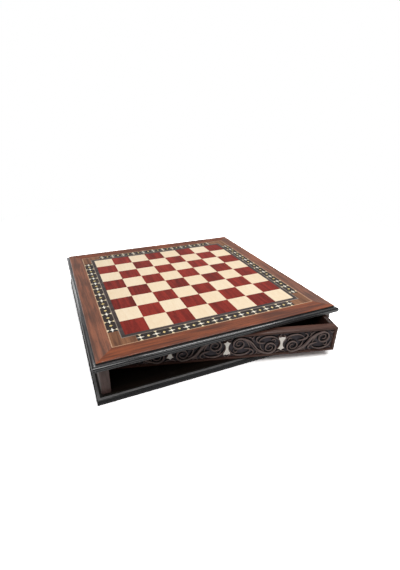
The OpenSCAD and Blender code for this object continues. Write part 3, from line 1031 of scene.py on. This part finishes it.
@dataclass
class Mosaic(Assembly):
    """The small tiles let into the four bands: stars, edge triangles and diamonds."""

    body: str = "case"
    STEEP: ClassVar[float] = 0.4        # height of an arris over its width
    SEAT_ARRIS: ClassVar[float] = 0.1   # arris of a filled seat, of a tile's

    stars: int = 12
    tone_seed: int = 7
    pitch: float = 27.9 * MM
    middle: float = 193 * MM
    width: float = 18 * MM
    top: float = 78 * MM
    depth: float = 1.2 * MM
    arris: float = 0.12 * MM
    proud: float = 0.03 * MM
    seats: TileCut = TileCut(star_reach=(6.0 * MM, 5.4 * MM), star_waist=2.4 * MM,
                             diamond_reach=(4.0 * MM, 3.2 * MM), wedge_size=(7.0 * MM, 3.2 * MM))
    tiles: TileCut = TileCut(star_reach=(7.5 * MM, 4.6 * MM), star_waist=2.05 * MM,
                             diamond_reach=(2.8 * MM, 3.4 * MM), wedge_size=(6.2 * MM, 4.4 * MM))

    def tile(self, name: str, outlines: Sequence[Sequence[Point]], arris: float) -> bpy.types.Mesh:
        """Makes one closed tile, or a group of them, with a small arris round its face.

        Args:
            name: Its name.
            outlines: Corners of each tile about the middle of its group, anticlockwise.
            arris: Width of the arris.

        Returns:
            The mesh.
        """
        def fill(draft: bmesh.types.BMesh) -> None:
            """Adds each tile in three rings of corners."""
            for outline in outlines:
                corners = [Vector(p) for p in outline]
                core = sum(corners, Vector((0.0, 0.0))) / len(corners)
                reach = min((p - core).length for p in corners)
                levels = ((-self.depth, 1.0), (-self.STEEP * arris, 1.0), (0.0, 1.0 - arris / reach))
                stack_rings(draft, [[draft.verts.new((*(core + (p - core) * share), z)) for p in corners]
                                    for z, share in levels])

        return shape(name, fill)

    def rows(self) -> Recipe:
        """The tree that lays a tile along the four bands and gives each its own tone."""
        tree = Recipe("tile_rows", {"Count": "NodeSocketInt", "Pitch": "NodeSocketFloat",
                                    "Band Middle": "NodeSocketFloat", "Top": "NodeSocketFloat",
                                    "Tone Seed": "NodeSocketInt", "Material": "NodeSocketMaterial"})
        count, pitch = tree.knob("Count"), tree.knob("Pitch")
        start = tree.vector(pitch * (0.5 - count * 0.5), 0.0 - tree.knob("Band Middle"), tree.knob("Top"))
        row = tree.add("GeometryNodeMeshLine", None,
                       {"Count": count, "Offset": tree.vector(pitch), "Start Location": start})
        sides = tree.add("GeometryNodeMeshLine", None, {"Count": len(Side), "Offset": (0.0, 0.0, 0.0)})
        quarter = tree.vector(z=tree.add("GeometryNodeInputIndex") * (math.pi / 2))
        rows = tree.add("GeometryNodeInstanceOnPoints", None,
                        {"Points": sides, "Instance": row, "Rotation": quarter})
        places = tree.add("GeometryNodeRealizeInstances", None, {"Geometry": rows})
        chance = tree.add("FunctionNodeRandomValue", {"data_type": "FLOAT"},
                          {"Min_001": 0.0, "Max_001": 1.0, "Seed": tree.knob("Tone Seed")}, "Value_001")
        places = tree.add("GeometryNodeStoreNamedAttribute", {"data_type": "FLOAT", "domain": "POINT"},
                          {"Geometry": places, "Name": OWN_TONE, "Value": chance})
        turn = (tree.add("GeometryNodeInputIndex") / count).floored()
        tree.finish(tree.add("GeometryNodeInstanceOnPoints", None,
                             {"Points": places, "Instance": tree.knob("Geometry"),
                              "Rotation": tree.vector(z=turn * (math.pi / 2))}))
        return tree

    def build(self) -> None:
        """Fills the seats in the bands and lays the stars, the triangles and the diamonds."""
        ivory = Tile("ivory_tile", (1.0, 0.96, 0.86), (0.98, 0.89, 0.69))
        straw = Tile("ivory_tile", (0.94, 0.83, 0.58), (0.78, 0.62, 0.34))
        amber = Tile("amber_tile", (0.95, 0.78, 0.37), (0.80, 0.57, 0.19))
        rows = self.rows()
        few, many = self.stars - 1, self.stars
        for name, outlines, count, finish, node in (
                ("star_seats", [self.seats.star()], many, GROUND, None),
                ("edge_seats", self.seats.wedges(self.width / 2), many, GROUND, None),
                ("diamond_seats", [self.seats.diamond()], few, GROUND, None),
                ("star_tiles", [self.tiles.star()], many, ivory, "ivory_tiles"),
                ("edge_tiles", self.tiles.wedges(self.width / 2), many, straw, "ivory_tiles"),
                ("diamond_tiles", [self.tiles.diamond()], few, amber, "amber_tiles")):
            nodes = (node,) if node else ()
            arris, top = self.arris * self.SEAT_ARRIS, self.top
            if node:
                arris, top = self.arris, self.top + self.proud
            piece = rows.grow(self.tile(name, outlines, arris), name, Count=count, Pitch=self.pitch,
                              Band_Middle=self.middle, Top=top, Tone_Seed=self.tone_seed + count,
                              Material=self.material(finish))
            self.seat(piece, finish, *nodes)


# ---- The case ----


@dataclass
class CaseBody(Assembly):
    """The mouldings, posts, walls and boards of the case."""

    body: str = "case"
    top_crest: float = 74.5 * MM
    base_crest: float = 10.2 * MM
    felt_half: float = 221.5 * MM
    felt_thickness: float = 1 * MM

    def build(self) -> None:
        """Dresses the case and lays the felt under it."""
        for side in Side:
            # Each moulding's crest is painted light grey: wear, and a painted highlight along its arris.
            self.eased("top_moulding_" + side.value,
                       Lacquer("black_lacquer", grain=side.grain, under_gloss=0.5, coat=0.8,
                               crest_z=self.top_crest, crest_height=0.7 * MM), 0.3 * MM)
            self.eased("base_moulding_" + side.value,
                       Lacquer("black_lacquer", grain=side.grain, crest_z=self.base_crest,
                               crest_height=0.08 * MM, wear_and_painted_light=(0.22, 0.217, 0.22)), 0.3 * MM)
        wall = Timber("stained_wood", (0.118, 0.071, 0.062), (0.043, 0.025, 0.022), Grain.UPRIGHT,
                      coat=0.4, coat_roughness=0.25)
        for node in ("post_front_left", "post_front_right", "post_back_right", "post_back_left"):
            self.eased(node, wall, 0.4 * MM)
        self.dress(replace(wall, grain=Grain.ALONG_Y, coat=0.5), "side_panel_left", "side_panel_right")
        inner = Timber("carcass_wood", (0.011, 0.007, 0.005), (0.004, 0.003, 0.002), coat=0.0)
        self.dress(inner, "centre_divider", "core_panel")
        self.eased("base_panel", replace(inner, coat=0.05), 0.4 * MM)
        self.lay_felt()

    def lay_felt(self) -> None:
        """Makes the felt sheet under the base, with a soft edge."""
        half = self.felt_half
        mesh = shape("base_felt_sheet", lambda d: add_block(d, (-half, -half, 0.0),
                                                            (half, half, self.felt_thickness)))
        piece = new_piece("base_felt_sheet", mesh)
        ease_edges(piece, 0.3 * MM)
        self.seat(piece, Felt("base_felt", (0.012, 0.012, 0.014)), "base_felt")


# ---- The drawers ----


def cubic(a: Vector, b: Vector, c: Vector, d: Vector, steps: int) -> list[Vector]:
    """Points of a cubic curve.

    Args:
        a: Its start.
        b: The first control point.
        c: The second.
        d: Its end.
        steps: Number of steps.

    Returns:
        The points, both ends included.
    """
    found = []
    for i in range(steps + 1):
        t = i / steps
        s = 1 - t
        found.append(a * s ** 3 + b * 3 * s * s * t + c * 3 * s * t * t + d * t ** 3)
    return found


@dataclass(frozen=True)
class Gouge:
    """The section that is swept along the carving's paths, in shares of half its width."""

    name: str
    section: Sequence[Point]
    top: float
    width: float
    height: float


RIDGE = Gouge("scrolls", top=0.9, width=1.9 * MM, height=3.4 * MM,
              section=((-1.3, -4.0), (-1.08, -1.4), (-0.92, -0.4), (-0.62, 0.42), (-0.24, 0.9),
                       (0.24, 0.9), (0.62, 0.42), (0.92, -0.4), (1.08, -1.4), (1.3, -4.0)))
# A thin near-black sheet laid on the ground round each ridge: painted shade at the ridges' feet.
OUTLINE_SHADE = Gouge("outline_cuts", top=0.0, width=4.6 * MM, height=0.36 * MM,
            section=((-1.0, -0.12), (1.0, -0.12), (0.94, 0.0), (-0.94, 0.0)))


@dataclass(frozen=True)
class Stroke:
    """One ridge of the carving: its path, its share of the full width and height."""

    path: list[Vector]
    girth: float
    rise: float


# The small ridges of half a panel: control points in shares of the panel, girth and rise.
CURLS = (
    (((-0.080, 0.43), (0.015, 0.42), (0.010, 0.08), (-0.190, 0.095)), 0.80, 0.92),
    (((-0.375, 0.10), (-0.400, 0.28), (-0.310, 0.30), (-0.315, 0.17)), 0.62, 0.85),
    (((-0.095, 0.07), (-0.100, -0.09), (-0.130, -0.22), (-0.185, -0.30)), 0.74, 0.82),
    (((0.015, 0.46), (0.060, 0.40), (0.055, 0.30), (0.020, 0.22)), 0.52, 0.78),
    (((-0.485, 0.47), (-0.460, 0.40), (-0.440, 0.34), (-0.410, 0.31)), 0.50, 0.78),
    (((-0.470, -0.02), (-0.475, -0.12), (-0.455, -0.20), (-0.425, -0.24)), 0.42, 0.75),
    (((-0.490, -0.40), (-0.455, -0.34), (-0.430, -0.40), (-0.400, -0.47)), 0.52, 0.78),
    (((-0.120, -0.45), (-0.080, -0.44), (-0.050, -0.38), (-0.035, -0.28)), 0.50, 0.78),
)


@dataclass
class Scrollwork:
    """The carved panel: an S scroll between two spirals, with leaves, buds and curls."""

    length: float = 102.91 * MM
    height: float = 43 * MM
    spiral_radius: float = 0.288
    spiral_eye: float = 0.17
    spiral_centre: Point = (0.284, 0.153)
    spiral_steps: int = 60
    stem_steps: int = 24
    rib_steps: int = 15
    leave_angle: float = -75.0
    turns: float = 1.6
    tightening: float = 0.72
    pull: float = 0.33
    rib_offset: float = 3.5 * MM

    def at(self, x: float, y: float) -> Vector:
        """A point of the panel.

        Args:
            x: Share of the panel's length, from its middle.
            y: Share of its height, from its middle.

        Returns:
            The point.
        """
        return Vector((x * self.length, y * self.height))

    def bow(self, *shares: Point, steps: int = 14) -> list[Vector]:
        """A cubic curve through shares of the panel."""
        return cubic(*(self.at(*share) for share in shares), steps)

    def stem_rib(self, scroll: Sequence[Vector]) -> list[Vector]:
        """The path of the thin rib beside the stem of the S scroll.

        Args:
            scroll: The scroll's path.

        Returns:
            The middle of that path, moved aside.
        """
        middle = len(scroll) // 2
        stem = scroll[middle - self.rib_steps:middle + self.rib_steps + 1]
        rib = []
        for i in range(1, len(stem) - 1):
            along = (stem[i + 1] - stem[i - 1]).normalized()
            swell = math.sin(math.pi * i / (len(stem) - 1)) ** 0.5
            rib.append(stem[i] + self.rib_offset * swell * Vector((along.y, -along.x)))
        return rib

    def s_scroll(self) -> list[Vector]:
        """The path from the eye of one spiral to the eye of the other."""
        radius = self.spiral_radius * self.height
        centre = -self.at(*self.spiral_centre)
        spiral = []
        for i in range(self.spiral_steps + 1):
            t = i / self.spiral_steps
            angle = math.radians(self.leave_angle - 360 * self.turns * (1 - t))
            reach = radius * (self.spiral_eye + (1 - self.spiral_eye) * t ** self.tightening)
            spiral.append(centre + reach * Vector((math.cos(angle), math.sin(angle))))
        heading = math.radians(self.leave_angle + 90)
        pull = self.pull * self.length * Vector((math.cos(heading), math.sin(heading)))
        stem = cubic(spiral[-1], spiral[-1] + pull, -spiral[-1] - pull, -spiral[-1], self.stem_steps)
        return spiral + stem[1:-1] + [-p for p in reversed(spiral)]

    def strokes(self) -> list[Stroke]:
        """All ridges of one panel."""
        leaf = (self.bow((-0.455, 0.08), (-0.43, 0.33), (-0.33, 0.42), (-0.235, 0.41))
                + self.bow((-0.235, 0.41), (-0.15, 0.40), (-0.075, 0.29), (-0.080, 0.16))[1:])
        halves = [Stroke(leaf, 0.72, 0.88)]
        halves += [Stroke(self.bow(*points), girth, rise) for points, girth, rise in CURLS]
        turned = [Stroke([-p for p in s.path], s.girth, s.rise) for s in halves]
        scroll = self.s_scroll()
        return [Stroke(scroll, 1.0, 1.0), Stroke(self.stem_rib(scroll), 0.62, 0.88), *halves, *turned]

    def mesh(self) -> bpy.types.Mesh:
        """The strokes as chains of edges, with their girth and rise kept on the points."""
        points, edges, girths, rises = [], [], [], []
        for stroke in self.strokes():
            first = len(points)
            points += [(*p, 0.0) for p in stroke.path]
            edges += [(i, i + 1) for i in range(first, len(points) - 1)]
            girths += [stroke.girth] * len(stroke.path)
            rises += [stroke.rise] * len(stroke.path)
        mesh = bpy.data.meshes.new("scroll_paths")
        mesh.from_pydata(points, edges, [])
        for name, values in (("girth", girths), ("rise", rises)):
            mesh.attributes.new(name, "FLOAT", "POINT").data.foreach_set("value", values)
        return mesh

    @staticmethod
    def recipe() -> Recipe:
        """The tree that repeats a panel's paths and carves a ridge along each."""
        tree = Recipe("carved_scrolls", {"Panels": "NodeSocketInt", "Panel Length": "NodeSocketFloat",
                                         "Width": "NodeSocketFloat", "Height": "NodeSocketFloat",
                                         "Section Top": "NodeSocketFloat", "End Width": "NodeSocketFloat",
                                         "Section": "NodeSocketObject", "Material": "NodeSocketMaterial"})
        panels, length = tree.knob("Panels"), tree.knob("Panel Length")
        row = tree.add("GeometryNodeMeshLine", None,
                       {"Count": panels, "Start Location": tree.vector(length * (0.5 - panels * 0.5)),
                        "Offset": tree.vector(length)})
        mirror = tree.add("GeometryNodeInputIndex") % 2.0 * 2.0 - 1.0
        copies = tree.add("GeometryNodeInstanceOnPoints", None,
                          {"Points": row, "Instance": tree.knob("Geometry"),
                           "Scale": tree.vector(mirror, 1.0, 1.0)})
        paths = tree.add("GeometryNodeMeshToCurve", None,
                         {"Mesh": tree.add("GeometryNodeRealizeInstances", None, {"Geometry": copies})})
        paths = tree.add("GeometryNodeSetCurveNormal", {"mode": "Z_UP"}, {"Curve": paths})
        girth, rise = (tree.add("GeometryNodeInputNamedAttribute", {"data_type": "FLOAT"}, {"Name": name})
                       for name in ("girth", "rise"))
        along = tree.add("GeometryNodeSplineParameter")
        end = tree.knob("End Width")
        half = (end + (1.0 - end) * (along * math.pi).sine()) * girth * tree.knob("Width") * 0.5
        crown = tree.knob("Height") * rise - half * tree.knob("Section Top")
        paths = tree.add("GeometryNodeSetPosition", None, {"Geometry": paths, "Offset": tree.vector(z=crown)})
        section = tree.add("GeometryNodeObjectInfo", None, {"Object": tree.knob("Section")}, "Geometry")
        section = tree.add("GeometryNodeMeshToCurve", None, {"Mesh": section})
        ridges = tree.add("GeometryNodeCurveToMesh", None,
                          {"Curve": paths, "Profile Curve": section, "Scale": half, "Fill Caps": True})
        tree.finish(tree.add("GeometryNodeSetShadeSmooth", None, {"Geometry": ridges, "Shade Smooth": True}))
        return tree


@dataclass
class DrawerFront(Assembly):
    """A drawer's carved front board, with seats for its three inlays."""

    half_length: float = 210.81 * MM
    height: float = 50.8 * MM
    middle_z: float = 39 * MM
    face_y: float = -24 * MM
    thickness: float = 16 * MM
    rim: float = 3.9 * MM
    end_rim: float = 5 * MM
    depth: float = 4 * MM
    panels: int = 4
    inlay_height: float = 29 * MM
    inlay_width: float = 12.5 * MM
    inlay_waist: float = 4.6 * MM
    seat_margin: float = 1.4 * MM
    end_width: float = 0.45         # of a ridge at its ends, of its full width

    def up(self) -> Matrix:
        """The move from a drawing on the ground, Z out of it, to the frame."""
        lift = Matrix.Translation((0.0, self.face_y + self.depth, self.middle_z))
        return self.bearing.matrix() @ lift @ Matrix.Rotation(math.pi / 2, 4, "X")

    def board(self) -> bpy.types.Object:
        """The board, with its field sunk between plain rims."""
        x, h = self.half_length, self.height / 2
        field_x, field_h, draft_in = x - self.end_rim, h - self.rim, 0.3 * MM

        def fill(draft: bmesh.types.BMesh) -> None:
            """Adds the four rings of corners and the faces between them."""
            sizes = ((x, h, self.depth - self.thickness), (x, h, self.depth), (field_x, field_h, self.depth),
                     (field_x - draft_in, field_h - draft_in, 0.0))
            stack_rings(draft, [[draft.verts.new((sx * a, sy * b, z))
                                 for sx, sy in ((-1, -1), (1, -1), (1, 1), (-1, 1))] for a, b, z in sizes])

        piece = new_piece(self.body + "_front_board", shape("front_board", fill))
        ease_edges(piece, 0.45 * MM)
        piece.data.transform(self.up())
        return piece

    def inlay_outline(self, margin: float) -> list[Point]:
        """Outline of an inlay, a crown at its lower end and a point at its upper end.

        Args:
            margin: Distance added all round.

        Returns:
            The corners, anticlockwise.
        """
        w, n, h = (size / 2 + margin for size in (self.inlay_width, self.inlay_waist, self.inlay_height))
        arc = cubic(Vector((n, 0.0)), Vector((n, 0.42 * h)), Vector((0.72 * w, 0.52 * h)),
                    Vector((w, 0.74 * h)), 8)
        point = [tuple(p) for p in arc] + [(0.45 * w, 0.80 * h), (0.0, h)]
        crown = [tuple(p) for p in arc[1:]] + [(0.95 * w, h), (0.5 * w, 0.93 * h), (0.0, h)]
        upper = point + [(-a, b) for a, b in reversed(point[1:-1])] + [(-n, 0.0)]
        lower = [(-a, -b) for a, b in crown] + [(a, -b) for a, b in reversed(crown[:-1])]
        return upper + lower

    def seats(self, work: Scrollwork) -> bpy.types.Object:
        """The raised seats round the inlays."""
        outline = self.inlay_outline(self.seat_margin)

        def fill(draft: bmesh.types.BMesh) -> None:
            """Adds one prism for each inlay."""
            for i in range(self.panels - 1):
                turn = -1 if i % 2 == 0 else 1
                middle = (i + 1 - self.panels / 2) * work.length
                add_prism(draft, [(middle + turn * a, turn * b) for a, b in outline], -0.5 * MM, self.depth)

        piece = new_piece(self.body + "_inlay_seats", shape("inlay_seats", fill))
        ease_edges(piece, 0.3 * MM, 50.0)
        piece.data.transform(self.up())
        return piece

    def ground(self, work: Scrollwork) -> bpy.types.Object:
        """A thin plain skin over the sunk field."""
        gap, thickness = 0.2 * MM, 0.25 * MM
        x, y = work.length * self.panels / 2 - gap, work.height / 2 - gap
        mesh = shape("ground", lambda draft: add_block(draft, (-x, -y, 0.0), (x, y, thickness)))
        piece = new_piece(self.body + "_carved_ground", mesh)
        piece.data.transform(self.up())
        return piece

    def build(self) -> None:
        """Makes the front and dresses the inlays."""
        work = Scrollwork(2 * (self.half_length - self.end_rim) / self.panels, self.height - 2 * self.rim)
        node = self.body + "_face"
        # The board is darkened under its top: painted shade on its upright faces.
        wood = DarkBelow("carved_wood", (0.125, 0.056, 0.040), (0.045, 0.020, 0.015),
                            figure_long=100 * MM, roughness=0.45, coat=0.2, coat_roughness=0.3,
                            dark_below=self.middle_z + self.height / 2 - 0.6 * MM,
                            stain=(0.040, 0.028, 0.026), strength=0.1)
        # The ridges' lower flanks are painted near black: painted shade at their feet.
        relief = Relief("carved_wood", (0.0045, 0.0040, 0.0040), (0.230, 0.163, 0.148),
                        ground_y=self.face_y + self.depth, crown_y=self.face_y + 0.6 * MM)
        # Near black: the painted shade round the ridges.
        stain = Timber("carved_wood", (0.006, 0.005, 0.005), (0.003, 0.003, 0.003), roughness=0.7, coat=0.0)
        hollow = Timber("carved_wood", (0.105, 0.092, 0.104), (0.044, 0.038, 0.043),
                        figure_long=12 * MM, figure_wide=2 * MM, roughness=0.6, coat=0.0)
        self.seat(self.board(), wood, node)
        self.seat(self.ground(work), hollow, node)
        self.seat(self.seats(work), wood, node)
        recipe = Scrollwork.recipe()
        for gouge, finish in ((RIDGE, relief), (OUTLINE_SHADE, stain)):
            section = new_piece("section", outline_mesh("section", gouge.section))
            carving = recipe.grow(work.mesh(), f"{self.body}_{gouge.name}", Panels=self.panels,
                                  Panel_Length=work.length, Width=gouge.width, Height=gouge.height,
                                  Section_Top=gouge.top, End_Width=self.end_width, Section=section,
                                  Material=self.material(finish))
            bpy.data.objects.remove(section)
            carving.data.transform(self.up())
            self.seat(carving, finish, node)
        self.dress(Bone("bone"), self.body + "_inlays")


@dataclass
class Drawer(Assembly):
    """A drawer's box with its lining and glides."""

    inner_half: float = 201.81 * MM
    inner_front: float = -8 * MM
    inner_back: float = 55.64 * MM
    lining_gap: float = 0.3 * MM
    glide_radius: float = 6 * MM
    glide_thickness: float = 0.5 * MM
    glide_inset: float = 12 * MM
    glide_corners: int = 32
    bottom_z: float = 13.6 * MM

    def build(self) -> None:
        """Dresses the box, lays its lining and sets its glides."""
        wood = Timber("drawer_wood", (0.055, 0.024, 0.017), (0.020, 0.009, 0.007), coat=0.05,
                      coat_roughness=0.3)
        across = replace(wood, grain=Grain.ALONG_Y)
        for part, finish in (("_back", wood), ("_left_side", across), ("_right_side", across)):
            self.eased(self.body + part, finish)
        self.dress(Timber("drawer_bottom", (0.16, 0.085, 0.05), (0.08, 0.04, 0.024), coat=0.0),
                   self.body + "_bottom")
        self.dress(Turned("brass", BRASS), self.body + "_bush")
        self.lay_lining()
        self.set_glides()

    def lay_lining(self) -> None:
        """Makes the felt lining, with its hole over the pivot."""
        width = 2 * (self.inner_half - self.lining_gap)
        depth = self.inner_back - self.inner_front - 2 * self.lining_gap
        piece = merged_copy(self.body + "_lining", self.body + "_felt_lining")
        ease_edges(piece, 0.25 * MM)
        self.seat(piece, Felt("lining_felt", (0.010, 0.009, 0.010)), self.body + "_lining")

    def set_glides(self) -> None:
        """Makes the four felt glides under the bottom."""
        xs = (self.glide_inset - self.inner_half, self.inner_half - self.glide_inset)
        ys = (self.inner_front + self.glide_inset, self.inner_back - self.glide_inset)
        top, r = self.bottom_z, self.glide_radius
        turns = [2 * math.pi * i / self.glide_corners for i in range(self.glide_corners)]

        def fill(draft: bmesh.types.BMesh) -> None:
            """Adds four discs."""
            for x, y in product(xs, ys):
                ring = [(x + r * math.cos(turn), y + r * math.sin(turn)) for turn in turns]
                add_prism(draft, ring, top - self.glide_thickness, top)

        piece = new_piece(self.body + "_felt_glides", shape("glides", fill))
        ease_edges(piece, 0.12 * MM)
        piece.data.transform(self.bearing.matrix())
        self.seat(piece, Felt("glide_felt", (0.05, 0.05, 0.05)), self.body + "_glides")


@dataclass
class PivotFittings(Assembly):
    """The pins and washers that the drawers turn on."""

    body: str = "case"

    def build(self) -> None:
        """Dresses the fittings."""
        for side, y in (("front", -PIVOT_Y), ("back", PIVOT_Y)):
            self.dress(Turned("brass", BRASS, axis=(0.0, y)), side + "_pivot_pin")
            self.dress(Turned("steel", STEEL, 0.35, axis=(0.0, y)), side + "_pivot_washer")


# ---- The studio ----


@dataclass(frozen=True)
class Lamp:
    """A soft lamp: where it hangs, the point that it faces, its width and height, its power in watts."""

    name: str
    place: Place
    aim: Place
    size: Point
    power: float
    tint: Colour = (1.0, 0.99, 0.98)

    def hang(self) -> None:
        """Adds the lamp to the scene."""
        data = bpy.data.lights.new(self.name, "AREA")
        data.shape = "RECTANGLE"
        data.size, data.size_y = self.size
        data.energy = self.power
        data.color = self.tint
        lamp = new_piece(self.name, data)
        way = Vector(self.aim) - Vector(self.place)
        lamp.rotation_euler = way.to_track_quat("-Z", "Y").to_euler()
        lamp.location = self.place


LAMPS = (
    Lamp("key", (-0.7, -0.75, 1.35), (0.0, 0.0, 0.05), (0.6, 0.6), 6.0, (1.0, 0.985, 0.97)),
    Lamp("front", (0.40, -0.60, 1.30), (0.15, -0.1, 0.05), (1.2, 0.4), 5.0),
    Lamp("overhead", (0.5, 0.38, 1.2), (0.5, -0.15, 0.05), (1.3, 0.35), 11.0),
    Lamp("back", (-0.65, 1.15, 0.5), (-0.2, 0.0, 0.05), (0.5, 0.4), 1.6, (1.0, 1.0, 1.0)),
)


@dataclass
class Studio:
    """The floor, the light and the camera."""

    SENSOR: ClassVar[float] = 36.0      # height of the camera's sensor, in millimetres

    target: Place = (0.022834, -0.010456, 0.078)
    azimuth: float = -23.6327
    elevation: float = 25.2582
    roll: float = 0.8445
    distance: float = 0.777347
    focal: float = 334.5186             # in pixels of the frame
    frame_height: float = 570.0
    shift: Point = (0.010513, -0.012835)
    room_light: float = 0.23
    floor_reach: float = 6.0
    floor_tint: Colour = (0.80, 0.795, 0.79)
    floor_mirrored: float = 0.15        # what a gloss sees of the floor near the box
    seen_left: Colour = (3.4, 3.4, 3.4)
    seen_right: Colour = (2.3, 2.3, 2.3)
    seen_change: Point = (-0.30, -0.15)
    white_from: Point = (0.45, 1.1)     # distances over which the floor turns white

    def camera(self) -> None:
        """Sets the camera where the photograph was taken."""
        az, el, roll = (math.radians(a) for a in (self.azimuth, self.elevation, self.roll))
        back = Vector((math.sin(az) * math.cos(el), -math.cos(az) * math.cos(el), math.sin(el)))
        right = Vector((math.cos(az), math.sin(az), 0.0))
        up = right.cross(-back)
        tilted_right = right * math.cos(roll) + up * math.sin(roll)
        tilted_up = up * math.cos(roll) - right * math.sin(roll)
        turn = Matrix((tilted_right, tilted_up, back)).transposed().to_4x4()
        data = bpy.data.cameras.new("camera")
        data.sensor_fit = "VERTICAL"
        data.sensor_height = self.SENSOR
        data.lens = self.SENSOR * self.focal / self.frame_height
        data.shift_x, data.shift_y = self.shift
        data.clip_start = 0.01
        eye = new_piece("camera", data)
        eye.matrix_world = Matrix.Translation(Vector(self.target) + back * self.distance) @ turn
        bpy.context.scene.camera = eye

    def world(self) -> None:
        """Sets a plain room with a white backdrop behind the box."""
        world = bpy.data.worlds.new("studio")
        world.use_nodes = True
        tree = Graph(world.node_tree)
        way = tree.add("ShaderNodeTexCoord", out="Generated")
        behind = tree.part(way, "Y").ramped(-0.2, 0.5)
        backdrop = behind * (1.0 - tree.part(way, "Z").ramped(0.0, 0.12)) * (1.0 - self.room_light)
        camera = tree.add("ShaderNodeLightPath", out="Is Camera Ray")
        strength = (self.room_light + backdrop).at_least(camera)
        light = tree.add("ShaderNodeBackground", None, {"Color": WHITE, "Strength": strength})
        tree.add("ShaderNodeOutputWorld", None, {"Surface": light})
        bpy.context.scene.world = world

    def floor(self) -> None:
        """Lays the pale floor, which keeps the box's shadow and is white further off."""
        reach = self.floor_reach
        floor = new_piece("floor", shape("floor", lambda draft: add_block(
            draft, (-reach, -reach, -20 * MM), (reach, reach, -0.2 * MM))))
        material = bpy.data.materials.new("floor")
        floor.data.materials.append(material)
        tree = Paint(material, HOME)
        camera, glossy, through = (tree.add("ShaderNodeLightPath", out=ray) for ray in
                                   ("Is Camera Ray", "Is Glossy Ray", "Is Transmission Ray"))
        side = tree.part(tree.place, "X").ramped(*self.seen_change)
        tint = tree.blend(camera, self.floor_tint, tree.blend(side, self.seen_left, self.seen_right))
        matt = tree.add("ShaderNodeBsdfDiffuse", None, {"Color": tint})
        mirrored = (glossy + through).at_most(1.0) * self.floor_mirrored
        glow, white = (tree.add("ShaderNodeEmission", None, {"Color": WHITE, "Strength": strength})
                       for strength in (mirrored, 1.0))
        near = tree.add("ShaderNodeAddShader", None, {0: matt, 1: glow})
        far = (tree.vectors("LENGTH", tree.place, out="Value").ramped(*self.white_from)
               * (camera + glossy + through).at_most(1.0))
        both = tree.add("ShaderNodeMixShader", None, {0: far, 1: near, 2: white})
        tree.add("ShaderNodeOutputMaterial", None, {"Surface": both})

    def build(self) -> None:
        """Sets up the studio."""
        bpy.context.scene.view_settings.view_transform = "Standard"
        self.camera()
        self.world()
        self.floor()
        for lamp in LAMPS:
            lamp.hang()


def main() -> None:
    """Builds the sub-assemblies in order."""
    logging.basicConfig(level=logging.INFO, format="%(message)s")
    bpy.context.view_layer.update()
    swung = Bearing(-SWING, (0.0, -PIVOT_Y, 0.0))
    closed = Bearing(math.pi, (0.0, PIVOT_Y, 0.0))
    BoardTop().build()
    Mosaic().build()
    CaseBody().build()
    PivotFittings().build()
    for body, bearing in (("front_drawer", swung), ("back_drawer", closed)):
        DrawerFront(body, bearing).build()
        Drawer(body, bearing).build()
    Studio().build()


if __name__ == "__main__":
    main()
